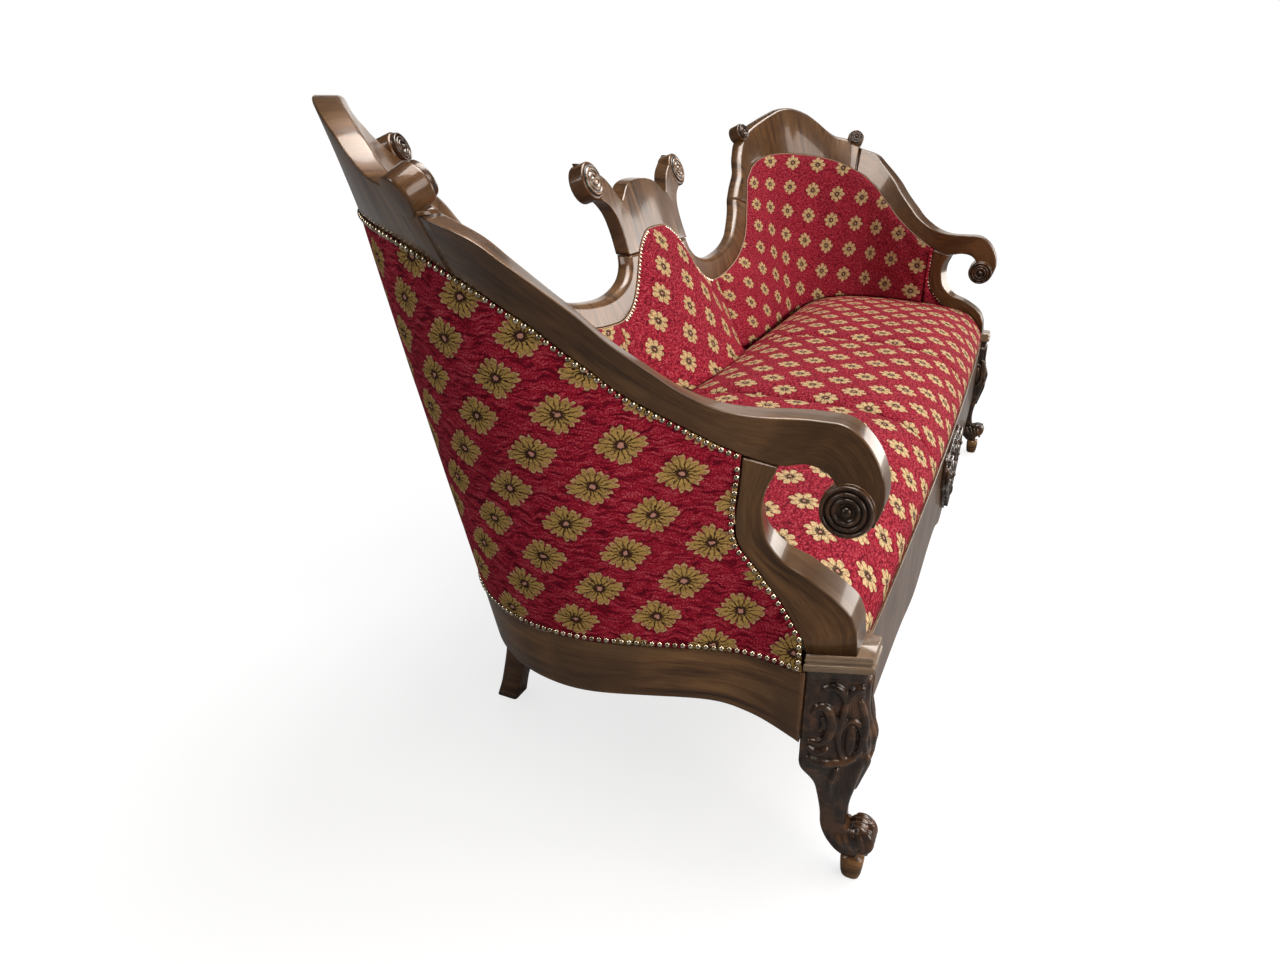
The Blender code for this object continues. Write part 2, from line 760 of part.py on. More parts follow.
def make_center_crest():
    edge = [Vector(point) for point in center_side_shares[:2]]
    edge += smooth_rows(center_side_shares[1:], 2)[1:]
    edge += smooth_rows(center_horn_shares, 2)
    foot = nail_stations(edge[0].x, 3.0)[1:-1]
    half = [shell(u, height(share), 0.0, True) for u, share in edge]
    low = [shell(u, nail_height(u), 0.0) for u in foot[::-1]]
    ends = [shell(3, height(center_horn_shares[-1][1]), 0.0, True), shell(3, nail_height(3), 0.0)]
    left = [Vector((-point.x, point.y, point.z)) for point in low + half[:-1]]
    outline = half[:-1] + ends[:1] + left[:len(low) - 1:-1] + left[len(low) - 1::-1] + ends[1:] + low
    body = mesh_of("center", *prism(outline, Vector((0, -wood_thick(3), 0))))
    center, axis, thick = scroll_at(center_scroll_share)
    discs = [disc(Vector((side * center.x, center.y, center.z)), axis, center_scroll_radius, thick, 22)
             for side in (1, -1)]
    add("crest_center", united(body, discs), walnut)


def make_rosettes():
    for name, share, radius, outwards in (
            ("arm_rosette_inner", arm_scroll_share, arm_rosette_radius, False),
            ("arm_rosette_outer", arm_scroll_share, arm_rosette_radius, True),
            ("crest_rosette_side", crest_scroll_shares[0], crest_rosette_radius, False),
            ("crest_rosette_back", crest_scroll_shares[1], crest_rosette_radius, False),
            ("center_rosette", center_scroll_share, center_rosette_radius, False)):
        right = rosette(name + "_right", share, radius, outwards)
        flip(right, name + "_left")


def make_posts():
    for stem, middle in (("corner_post", corner_post_share), ("valley_post", valley_post_share)):
        low_z = rail_top + gap
        reach = shell_plan(middle + post_probe_share, low_z) - shell_plan(middle - post_probe_share, low_z)
        span = 2 * post_probe_share * post_width / reach.length
        grids = []
        for depth in (post_depth, post_depth + post_thick):
            grid = []
            for row in range(post_steps + 1):
                u = middle + span * (row / post_steps - 0.5)
                rise = nail_height(u) - fabric_gap - low_z
                grid.append([shell(u, low_z + rise * k / post_steps, depth) for k in range(post_steps + 1)])
            grids.append(grid)
        pair(stem, mesh_of(stem, *skin(*grids)), beech)


def inner_back(z):
    """y of the back rail's inner face"""
    return shell(3, z, seat_rail_thick).y


def make_cross_rails():
    top = rail_top - gap
    low = top - stretcher_height
    low_x, high_x = stretcher_x - stretcher_width / 2, stretcher_x + stretcher_width / 2
    corners = [(low_x, low), (high_x, low), (high_x, top), (low_x, top)]
    rings = [[Vector((x, apron_back() + gap, z)) for x, z in corners],
             [Vector((x, inner_back(z) - 2 * gap, z)) for x, z in corners]]
    pair("seat_stretcher", mesh_of("seat_stretcher", *loft(rings)), beech)
    block_x, _, _, block_y = block_place()
    low = top - corner_block_height
    corners = [(block_x - gap, apron_back() + gap), (block_x - gap, block_y),
               (block_x - gap - corner_block_width, apron_back() + gap)]
    solid = prism([Vector((x, y, low)) for x, y in corners], Vector((0, 0, top - low)))
    pair("corner_block", mesh_of("corner_block", *solid), beech)


def make_webbing():
    back_y = inner_back(webbing_height) - 2 * gap
    front = apron_back() + gap

    def span(middle):
        return middle - webbing_width / 2, middle + webbing_width / 2

    xs = [span(webbing_reach * share) for share in webbing_x_shares]
    ys = [span(mixed(front, back_y, share)) for share in webbing_y_shares]
    x_lines = sorted([-webbing_reach, webbing_reach] + [value for pair_x in xs for value in pair_x])
    y_lines = sorted([front, back_y] + [value for pair_y in ys for value in pair_y])
    points = [Vector((x, y, webbing_height)) for y in y_lines for x in x_lines]

    def inside(value, spans):
        return any(low < value < high for low, high in spans)

    faces = []
    for row, (y0, y1) in enumerate(zip(y_lines, y_lines[1:])):
        for column, (x0, x1) in enumerate(zip(x_lines, x_lines[1:])):
            if inside((x0 + x1) / 2, xs) or inside((y0 + y1) / 2, ys):
                first = row * len(x_lines) + column
                faces.append([first, first + 1, first + 1 + len(x_lines), first + len(x_lines)])
    mesh = bpy.data.meshes.new("webbing")
    mesh.from_pydata(points, [], faces)
    used = bmesh.new()
    used.from_mesh(mesh)
    bmesh.ops.delete(used, geom=[v for v in used.verts if not v.link_faces], context="VERTS")
    used.to_mesh(mesh)
    used.free()
    piece = add("seat_webbing", mesh, linen)
    thicken = piece.modifiers.new("thick", "SOLIDIFY")
    thicken.thickness = webbing_thick
    thicken.offset = 1


def frame_outline(depth, z, front, clearance):
    """the inside of the seat frame on plan, clear of the front legs' blocks"""
    block_x, _, _, block_y = block_place()
    low = (block_y + clearance - front_y) / corner_depth(z) + frame_start_share
    stations = [low + (1 - low) * k / frame_steps for k in range(frame_steps)]
    stations += [1 + k / frame_turn_steps for k in range(frame_turn_steps + 1)]
    side = [shell(u, z, depth) for u in stations]
    right = [Vector((block_x - clearance, front, z)), Vector((block_x - clearance, side[0].y, z))] + side
    left = [Vector((-point.x, point.y, z)) for point in right[::-1]]
    return right + left


def make_cloths():
    outline = frame_outline(pad_back_depth, rail_top + gap, front_y + apron_inset + gap, gap)
    add("seat_hessian", mesh_of("seat_hessian", *prism(outline, Vector((0, 0, cloth_thick)))), linen)
    outline = frame_outline(seat_rail_thick + 2 * fabric_gap, dust_cover_height, apron_back() + gap,
                            fabric_gap)
    add("dust_cover", mesh_of("dust_cover", *prism(outline, Vector((0, 0, cloth_thick)))), linen)


def make_springs():
    foot = webbing_height + webbing_thick + gap
    top = rail_top - gap
    back_y = inner_back(webbing_height)
    y = apron_back() + (back_y - apron_back()) * spring_y_share
    rise = top - foot - spring_wire
    places = [(f"seat_spring_{side}_{number}", sign * x)
              for side, sign in (("left", -1), ("right", 1)) for number, x in enumerate(spring_x, 1)]
    count = spring_turns * spring_points
    for name, x in places:
        curve = bpy.data.curves.new(name, "CURVE")
        curve.dimensions = "3D"
        curve.bevel_depth = spring_wire / 2
        curve.bevel_resolution = 0
        curve.use_fill_caps = True
        line = curve.splines.new("POLY")
        line.points.add(count)
        for k, point in enumerate(line.points):
            t = k / count
            radius = spring_radius * (spring_waist_share + (1 - spring_waist_share) * abs(2 * t - 1))
            angle = 2 * pi * spring_turns * t
            level = foot + spring_wire / 2 + rise * t
            point.co = (x + radius * cos(angle), y + radius * sin(angle), level, 1)
        wire = bpy.data.objects.new("wire", curve)
        cutters.objects.link(wire)
        bpy.context.view_layer.update()
        mesh = bpy.data.meshes.new_from_object(wire.evaluated_get(bpy.context.evaluated_depsgraph_get()))
        bpy.data.objects.remove(wire)
        closed = bmesh.new()
        closed.from_mesh(mesh)
        bmesh.ops.remove_doubles(closed, verts=closed.verts, dist=weld)
        bmesh.ops.recalc_face_normals(closed, faces=closed.faces)
        closed.to_mesh(mesh)
        closed.free()
        add(name, mesh, steel)


def make_covers():
    start, last = cover_start_share, cover_seam_share
    foot = cover_foot_shares[0][1]
    edge = cover_foot_shares + [(row[3], row[2] + 2 * joint_share) for row in stile_shares[::-1]]
    grids = []
    for depth in (0.0, cover_thick):
        grid = []
        for top_u in nail_stations(start, last):
            s = (top_u - start) / (last - start)
            low_u = foot + (last - foot) * s
            row = []
            for share, edge_u in edge:
                t = share / edge[-1][0]
                u = low_u + (top_u - low_u) * t
                u += (edge_u + joint_share - (foot + (start - foot) * t)) * (1 - s) ** 3
                top_z = nail_height(max(top_u, nail_shares[0][0])) - fabric_gap
                low_z = rail_top + gap
                z = low_z + (top_z - low_z) * t
                row.append(shell(u, z, depth))
            grid.append(row)
        grids.append(grid)
    pair("outside_cover", mesh_of("outside_cover", *skin(*grids)), crimson)
    grids = []
    stations = nail_stations(last, 3.0)
    for depth in (0.0, cover_thick):
        grid = []
        for u, side in [(u, 1) for u in stations] + [(u, -1) for u in stations[-2::-1]]:
            row = []
            for k in range(cover_back_steps + 1):
                z = rail_top + gap + (nail_height(u) - fabric_gap - rail_top - gap) * k / cover_back_steps
                place = shell(u, z, depth)
                if u == last:
                    place.x -= gap
                row.append(Vector((side * place.x, place.y, z)))
            grid.append(row)
        grids.append(grid)
    add("outside_cover_back", mesh_of("outside_cover_back", *skin(*grids)), crimson)


def seat_boundary(u, z):
    """the seat pad's edge at the sides and back, on plan"""
    start, end = seat_ease_shares
    k = ease((u - start) / (end - start))
    deep = seat_side_depth + (seat_back_depth - seat_side_depth) * ease(u - 1)
    place = shell(max(u, 0.0), z, deep)
    return Vector((seat_side_x + (place.x - seat_side_x) * k, place.y))


def seat_top(place):
    """height of the seat's top at a place on plan"""
    ahead = max(0.0, place.y - apron_front(min(abs(place.x), seat_side_x)))
    full = inner_back(rail_top) - (seat_back_depth - seat_rail_thick) - apron_front(0)
    along = min(1.0, ahead / full)
    across = min(1.0, abs(place.x) / base_side_x)
    front = (1 - (1 - min(1.0, ahead / seat_front_radius)) ** 2) ** 0.5
    hump = (1 - (2 * along - 1) ** 4) * (1 - seat_side_fall_share * across ** 5)
    return seat_pad_foot + seat_lip + (seat_edge_rise - seat_lip + seat_crown * hump) * front


def seat_front_edge(low_x, high_x):
    """a pad's front edge between two places across the sofa, as a function of 0 to 1"""
    def edge(s):
        x = low_x + (high_x - low_x) * s
        return Vector((x, apron_front(x) + seat_front_inset))
    return edge


def seat_outer_side(t):
    place = seat_boundary(seat_turn_share * t, seat_pad_foot)
    return Vector((place.x, max(place.y, apron_front(seat_side_x) + seat_front_inset)))


def seat_pad(left, right, front, back):
    """grids of a pad's top and underside, filled in between the four edges of its plan"""
    top, under = [], []
    for column in range(seat_columns + 1):
        s = column / seat_columns
        places = []
        for row in range(seat_rows + 1):
            t = (row / seat_rows) ** seat_row_share
            corners = left(0).lerp(right(0), s).lerp(left(1).lerp(right(1), s), t)
            places.append(left(t).lerp(right(t), s) + front(s).lerp(back(s), t) - corners)
        top.append([Vector((*place, seat_top(place))) for place in places])
        under.append([Vector((*place, seat_pad_foot)) for place in places])
    return top, under


def make_seat_pads():
    back_y = seat_boundary(u_at(seat_seam_x, seat_pad_foot), seat_pad_foot).y

    def seam(x, front):
        return lambda t: Vector((x, front.y + (back_y - front.y) * t))

    inner = seat_seam_x - gap
    front = seat_front_edge(-inner, inner)
    grids = seat_pad(seam(-inner, front(0)), seam(inner, front(1)), front,
                     lambda s: Vector((inner * (2 * s - 1), back_y)))
    add("seat_pad_center", mesh_of("seat_pad_center", *skin(*grids)), crimson)

    outer = seat_seam_x + gap
    front = seat_front_edge(outer, seat_side_x)
    seam_u = u_at(outer, seat_pad_foot)

    grids = seat_pad(seam(outer, front(0)), seat_outer_side, front,
                     lambda s: seat_boundary(seam_u + (seat_turn_share - seam_u) * s, seat_pad_foot))
    pair("seat_pad", mesh_of("seat_pad", *skin(*grids)), crimson)


def pad_rows(levels, top_z):
    """front and back edges of one section through a back pad, which stands on the seat pads"""
    low_u, _, low_depth = levels[0]
    back_depth = pad_back_depth + gap
    front = []
    for share in pad_foot_shares:
        place = shell(low_u, seat_pad_foot + seat_edge_rise, back_depth + (low_depth - back_depth) * share)
        front.append(Vector((place.x, place.y, seat_top(place) + pad_clearance)))
    foot = front[-1].z
    front += [shell(u, foot + (top_z - foot) * t, depth) for u, t, depth in levels[1:]]
    low = front[0].z
    count = len(front) - 1
    back = []
    for k in range(count + 1):
        t = k / count
        u = low_u + (levels[-1][0] - low_u) * t
        back.append(shell(u, low + (top_z - low) * t, back_depth))
    return front, back


def make_back_pads():
    crease = pad_crease_share
    foot, start = corner_pad_start_shares
    grids = [[], []]
    for top_u in nail_stations(start, crease):
        s = (top_u - start) / (crease - start)
        low_u = foot + (crease - foot) * s
        levels = []
        for k in range(pad_levels + 1):
            t = k / pad_levels
            hollow = mixed(corner_hollow_share, 1, (2 * s - 1) ** 2)
            edge = mixed(corner_edge_share, 1, min(1.0, min(s, 1 - s) / corner_edge_width_share) ** 0.5)
            swell = corner_pad_swell * hollow * edge * (1 - t) ** 0.5
            levels.append((mixed(low_u, top_u, t), t, wood_thick(top_u) + pad_top_proud + swell))
        fronts, backs = pad_rows(levels, nail_height(top_u) - fabric_gap)
        grids[0].append(fronts)
        grids[1].append(backs)
    pair("back_pad", mesh_of("back_pad", *skin(*grids)), crimson)
    stations = nail_stations(crease, 3.0)
    grids = [[], []]
    for u, side in [(u, 1) for u in stations] + [(u, -1) for u in stations[-2::-1]]:
        s = (3 - u) / (3 - crease)
        edge = gap if u == crease else 0
        levels = []
        for k in range(pad_levels + 1):
            t = k / pad_levels
            swell = center_pad_swell * (1 - t) ** center_fall_share
            swell *= 1 - center_side_share * s ** center_turn_share
            levels.append((u, t, wood_thick(u) + pad_top_proud + swell))
        for grid, row in zip(grids, pad_rows(levels, nail_height(u) - fabric_gap)):
            grid.append([Vector((side * (point.x - edge), point.y, point.z)) for point in row])
    add("back_pad_center", mesh_of("back_pad_center", *skin(*grids)), crimson)


for leftover in list(bpy.data.objects):
    bpy.data.objects.remove(leftover)
parts = bpy.data.collections.new(collection_name)
cutters = bpy.data.collections.new("cutters")
for group in (parts, cutters):
    bpy.context.scene.collection.children.link(group)

make_side_rails()
make_back_rail()
make_front_rail()
make_ornament()
make_front_legs()
make_leg_caps()
make_rear_legs()
make_arm_stiles()
make_arm_rails()
make_crests()
make_valley_rails()
make_center_crest()
make_rosettes()
make_posts()
make_cross_rails()
make_webbing()
make_cloths()
make_springs()
make_covers()
make_seat_pads()
make_back_pads()
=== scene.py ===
from math import cos, pi, radians, sin, sqrt

import bmesh
import bpy
from mathutils import Matrix, Vector, noise
from mathutils.bvhtree import BVHTree

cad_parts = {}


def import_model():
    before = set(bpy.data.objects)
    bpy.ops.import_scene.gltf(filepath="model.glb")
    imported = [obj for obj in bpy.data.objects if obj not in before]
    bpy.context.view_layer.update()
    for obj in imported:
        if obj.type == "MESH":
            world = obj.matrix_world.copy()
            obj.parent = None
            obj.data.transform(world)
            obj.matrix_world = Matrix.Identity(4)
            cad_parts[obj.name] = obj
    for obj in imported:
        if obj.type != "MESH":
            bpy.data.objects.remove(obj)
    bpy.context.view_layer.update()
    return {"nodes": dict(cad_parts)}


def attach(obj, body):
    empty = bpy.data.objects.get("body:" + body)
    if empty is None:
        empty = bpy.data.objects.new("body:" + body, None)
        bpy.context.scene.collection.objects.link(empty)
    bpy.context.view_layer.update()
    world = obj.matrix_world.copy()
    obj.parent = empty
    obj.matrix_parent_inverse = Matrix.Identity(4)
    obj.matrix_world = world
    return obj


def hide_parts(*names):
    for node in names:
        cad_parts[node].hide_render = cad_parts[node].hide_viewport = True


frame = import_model()
nodes = frame["nodes"]
print("frame loaded")

# The sofa follows one curved shell, as in the part: u runs 0 to 1 along a side from the front,
# 1 to 2 round the corner and 2 to 3 to the middle of the back. An outline holds pairs of u and height, or
# several of them in a row, and its heights are shares of the back's rise.
plan = {
    "frontY": -0.4017, "railTop": 0.375, "crestTop": 1.06,
    "frontX": (0.978, 0.898), "sideX": (1.049, 1.122), "depth": (0.645, 0.8418),
    "radius": (0.24, 0.3765), "swell": (0.095, 0.073),
    "legTop": 0.380, "capRise": 0.024, "middleFrom": 2.6, "middleLean": 0.07,
}
rise = plan["crestTop"] - plan["railTop"]

# The front leg's block, whose outer face slopes outwards to the back; the shell eases to it above and behind
block = {"width": 0.068, "depth": 0.079, "inset": 0.002, "proud": 0.012, "inward": 0.012, "inwardShare": 0.46,
         "turn": 0.36, "fadeBack": 0.10, "fadeUp": 0.14, "turnLevels": (0.42, 0.60)}
block["highX"] = plan["frontX"][0] - block["inset"]
block["lowX"] = block["highX"] - block["width"]
block["lowY"] = plan["frontY"] - block["proud"]
block["highY"] = block["lowY"] + block["depth"]
block["x"] = (block["lowX"] + block["highX"]) / 2
block["y"] = (block["lowY"] + block["highY"]) / 2

outline = {
    "nails": [(0.40, 0.404), (0.48, 0.430), (0.56, 0.463), (0.635, 0.496), (0.705, 0.531), (0.765, 0.571),
              (0.83, 0.610), (0.885, 0.645), (0.96, 0.679), (1.04, 0.712), (1.10, 0.732), (1.18, 0.758),
              (1.31, 0.782), (1.50, 0.798), (1.65, 0.799), (1.80, 0.783), (1.935, 0.750), (2.045, 0.704),
              (2.105, 0.632), (2.165, 0.555), (2.235, 0.478), (2.35, 0.415), (2.49, 0.379), (2.62, 0.366),
              (2.675, 0.374), (2.73, 0.401), (2.78, 0.450), (2.82, 0.504), (2.86, 0.559), (2.905, 0.594),
              (2.94, 0.609), (3.00, 0.612)],
    "lean": [(0.0, 0.0), (0.3, 0.0), (0.5, 0.35), (0.7, 0.42), (1.0, 0.5), (1.1, 0.45), (1.3, 0.2),
             (1.5, 0.06), (1.7, 0.06), (1.9, 0.15), (2.05, 0.2), (2.2, 0.15), (2.35, 0.0), (3.0, 0.0)],
    "wood": [(0.0, 1.0), (0.35, 1.0), (0.7, 0.86), (1.0, 0.84), (3.0, 0.84)],
    "armTop": [(1.058, 0.822), (0.96, 0.794), (0.90, 0.756), (0.838, 0.715), (0.775, 0.672),
               (0.708, 0.620), (0.63, 0.572), (0.55, 0.527), (0.45, 0.492), (0.338, 0.476),
               (0.217, 0.476), (0.125, 0.473), (0.055, 0.441), (0.010, 0.392), (-0.001, 0.345),
               (0.018, 0.300)],
    "armFoot": [1.073, 0.985, 0.925, 0.867, 0.805, 0.74, 0.665, 0.58, 0.48, 0.40],
    "armUnder": [(0.301, 0.387), (0.236, 0.394), (0.19, 0.391), (0.154, 0.378), (0.125, 0.352),
                 (0.098, 0.320)],
    "crest": [(1.058, 0.828, 1.075), (1.10, 0.848, 1.11), (1.14, 0.864, 1.15), (1.20, 0.875, 1.20),
              (1.25, 0.901, 1.25), (1.30, 0.936, 1.31), (1.36, 0.971, 1.36), (1.42, 0.991, 1.42),
              (1.485, 1.0, 1.485), (1.55, 0.993, 1.55), (1.61, 0.975, 1.61), (1.69, 0.950, 1.68),
              (1.77, 0.924, 1.75), (1.84, 0.900, 1.80), (1.89, 0.880, 1.84), (1.93, 0.858, 1.89),
              (1.975, 0.832, 1.95), (2.032, 0.787, 2.01), (2.077, 0.728, 2.053), (2.138, 0.676, 2.09),
              (2.187, 0.631, 2.125)],
    "valley": [(2.187, 0.631, 2.125), (2.229, 0.584, 2.17), (2.29, 0.536, 2.225), (2.365, 0.490, 2.33),
               (2.45, 0.461, 2.44), (2.54, 0.447, 2.55), (2.61, 0.444, 2.64), (2.68, 0.455, 2.71),
               (2.735, 0.476, 2.765), (2.77, 0.508, 2.805), (2.784, 0.5435, 2.848)],
    "centerSide": [(2.850, 0.546), (2.783, 0.546), (2.786, 0.605), (2.778, 0.662), (2.753, 0.700),
                   (2.72, 0.722)],
    "centerHorn": [(2.690, 0.829), (2.735, 0.806), (2.79, 0.770), (2.834, 0.712), (2.86, 0.722),
                   (2.90, 0.752), (2.95, 0.765), (3.0, 0.768)],
    "stile": [(0.303, 0.3840, 0.400, 0.4000), (0.316, 0.364, 0.403, 0.370), (0.333, 0.338, 0.407, 0.335),
              (0.340, 0.309, 0.413, 0.300), (0.336, 0.279, 0.414, 0.262), (0.325, 0.248, 0.407, 0.236),
              (0.296, 0.220, 0.388, 0.214), (0.257, 0.200, 0.356, 0.190), (0.192, 0.184, 0.311, 0.156),
              (0.137, 0.166, 0.270, 0.130), (0.090, 0.147, 0.234, 0.106), (0.050, 0.123, 0.204, 0.083),
              (0.028, 0.092, 0.182, 0.068)],
    "stileThick": [(0.0, 1.42), (0.12, 1.36), (0.25, 1.15), (0.40, 1.0)],
    "sideRail": [(0.165, 0.304), (0.26, 0.264), (0.35, 0.235), (0.48, 0.213), (0.70, 0.227), (0.93, 0.251),
                 (1.10, 0.253), (1.29, 0.253), (1.48, 0.253), (1.67, 0.253), (1.86, 0.253), (2.05, 0.253)],
}


def mixed(low, high, t):
    return low + (high - low) * t


def ease(t):
    t = min(1.0, max(0.0, t))
    return t * t * (3 - 2 * t)


def between(rows, u, column=1):
    rows = rows if rows[0][0] < rows[-1][0] else rows[::-1]
    if u <= rows[0][0]:
        return rows[0][column]
    for a, b in zip(rows, rows[1:]):
        if u <= b[0]:
            return mixed(a[column], b[column], (u - a[0]) / (b[0] - a[0]))
    return rows[-1][column]


def smoothRows(rows, steps):  # one smooth curve through rows of numbers or points
    rows = [Vector(row) for row in rows]
    ends = [2 * rows[0] - rows[1]] + rows + [2 * rows[-1] - rows[-2]]
    result = []
    for a, b, c, d in zip(ends, ends[1:], ends[2:], ends[3:]):
        for k in range(steps):
            t = k / steps
            result.append(0.5 * (2 * b + (c - a) * t + (2 * a - 5 * b + 4 * c - d) * t * t
                                 + (3 * b - a - 3 * c + d) * t ** 3))
    return result + [rows[-1]]


nailLine = [tuple(row) for row in smoothRows(outline["nails"], 3)]


def atHeight(name, z):
    return mixed(*plan[name], (z - plan["railTop"]) / rise)


def shellPlan(u, z):
    sideX, radius = atHeight("sideX", z), atHeight("radius", z)
    cornerY = plan["frontY"] + atHeight("depth", z) - radius
    if u <= 1:
        y = mixed(plan["frontY"], cornerY, u)
        frontX, swellY = atHeight("frontX", z), plan["frontY"] + atHeight("swell", z)
        return Vector((mixed(frontX, sideX, ease((y - swellY) / (cornerY - swellY))), y))
    if u <= 2:
        angle = (u - 1) * pi / 2
        return Vector((sideX - radius + radius * cos(angle), cornerY + radius * sin(angle)))
    return Vector(((sideX - radius) * (3 - u), cornerY + radius))


def inward(u, z, step=0.001):
    along = shellPlan(min(u + step, 3), z) - shellPlan(min(u, 3 - step) - step, z)
    return Vector((-along.y, along.x)).normalized()


def heightOf(share):
    return plan["railTop"] + share * rise


def nailHeight(u):
    return heightOf(between(nailLine, u))


def besideBlock(y):
    return 1 - ease((y - block["highY"]) / block["fadeBack"])


def blockTurn(y, z):  # how far outwards the block, and the shell beside it, moves at a place
    above = 1 - ease((z - plan["legTop"] - plan["capRise"]) / block["fadeUp"])
    return block["turn"] * min(y - block["y"], block["depth"] / 2) * besideBlock(y) * above


def shell(u, z, depth, lean=False):
    out = 0.0
    if lean:
        out = between(outline["lean"], u) * max(0.0, z - nailHeight(u))
        if u > plan["middleFrom"]:
            out += plan["middleLean"] * max(0.0, z - heightOf(outline["centerSide"][0][1]))
    place = shellPlan(u, z) + inward(u, z) * (depth - out)
    flare = max(0.0, atHeight("frontX", z) - plan["frontX"][0]) * besideBlock(place.y)
    return Vector((place.x + blockTurn(place.y, z) - flare, place.y, z))


def uAt(x, z):
    return 3 - x / (atHeight("sideX", z) - atHeight("radius", z))


def arcAt(u, z, steps=40):  # length along the shell from the front, at height z
    places = [shellPlan(u * k / steps, z) for k in range(steps + 1)]
    return sum((b - a).length for a, b in zip(places, places[1:]))


wood = {"thick": 0.043, "gap": 0.0003, "joint": 0.002}


def woodThick(u):
    return wood["thick"] * between(outline["wood"], u)


# Shader sums: an expression on wires adds its nodes
def wired(kind, swapped=False):
    return lambda wire, other: wire.shader.math(kind, *((other, wire) if swapped else (wire, other)))


class Wire:
    __add__ = __radd__ = wired("ADD")
    __mul__ = __rmul__ = wired("MULTIPLY")
    __sub__, __rsub__ = wired("SUBTRACT"), wired("SUBTRACT", swapped=True)
    __truediv__, __pow__ = wired("DIVIDE"), wired("POWER")

    def __init__(self, shader, socket):
        self.shader, self.socket = shader, socket

    def __abs__(self):
        return self.shader.math("ABSOLUTE", self)


class Shader:
    def __init__(self, name):
        self.material = bpy.data.materials.new(name)
        self.material.use_nodes = True
        self.tree = self.material.node_tree
        self.tree.nodes.clear()

    def node(self, kind, settings=None, *values, out=0, **named):
        made = self.tree.nodes.new(kind)
        for key, value in (settings or {}).items():
            if key == "stops":
                ramp = made.color_ramp
                while len(ramp.elements) < len(value):
                    ramp.elements.new(0.5)
                for element, (place, color) in zip(ramp.elements, value):
                    element.position, element.color = place, (*color, 1)
            else:
                setattr(made, key, value)
        inputs = [(made.inputs[k], value) for k, value in enumerate(values) if value is not None]
        inputs += [(made.inputs[key.replace("_", " ")], value) for key, value in named.items()]
        for socket, value in inputs:
            if isinstance(value, Wire):
                self.tree.links.new(value.socket, socket)
            elif socket.type == "RGBA" and len(value) == 3:
                socket.default_value = (*value, 1)
            else:
                socket.default_value = value
        return Wire(self, made.outputs[out]) if len(made.outputs) > out else None

    def math(self, kind, *values):
        return self.node("ShaderNodeMath", {"operation": kind}, *values)

    def blend(self, factor, a, b, kind="MIX"):  # two colours
        return self.node("ShaderNodeMix", {"data_type": "RGBA", "blend_type": kind},
                         factor, None, None, None, None, None, a, b, out=2)

    def coats(self, color, look, *coats):  # each coat is its cover and a wire, or the name of its colour
        for cover, coat in coats:
            color = self.blend(cover, color, look[coat] if isinstance(coat, str) else coat)
        return color

    def ramp(self, factor, stops):
        return self.node("ShaderNodeValToRGB", {"stops": stops}, factor)

    def smoothstep(self, value, low, high):
        return self.node("ShaderNodeMapRange", {"interpolation_type": "SMOOTHSTEP"},
                         value, low, high, 0.0, 1.0)

    def noise(self, place, scale, detail=3.0, rough=0.5, twist=0.0):
        return self.node("ShaderNodeTexNoise", None, Vector=place, Scale=scale, Detail=detail,
                         Roughness=rough, Distortion=twist)

    def stretch(self, place, factors=(1, 1, 1), shift=(0, 0, 0)):
        return self.node("ShaderNodeVectorMath", {"operation": "MULTIPLY_ADD"}, place, factors, shift)

    def uv(self):
        return self.node("ShaderNodeUVMap", {"uv_map": "metres"})

    def objectPlace(self):
        return self.node("ShaderNodeTexCoord", None, out=3)

    def split(self, vector):
        made = self.node("ShaderNodeSeparateXYZ", None, vector)
        return [Wire(self, socket) for socket in made.socket.node.outputs]

    def bump(self, height, distance, strength=1.0):
        return self.node("ShaderNodeBump", None, Strength=strength, Distance=distance, Height=height)

    def finish(self, **sockets):
        surface = self.node("ShaderNodeBsdfPrincipled", None, **sockets)
        self.node("ShaderNodeOutputMaterial", None, surface)
        return self.material


walnutLook = {
    "dark": (0.022, 0.0092, 0.0034), "mid": (0.118, 0.053, 0.0185), "light": (0.270, 0.138, 0.052),
    "pale": (0.27, 0.21, 0.15), "streak": 13.0, "length": 1.1, "pore": 260.0, "rough": 0.32, "coat": 0.34,
}


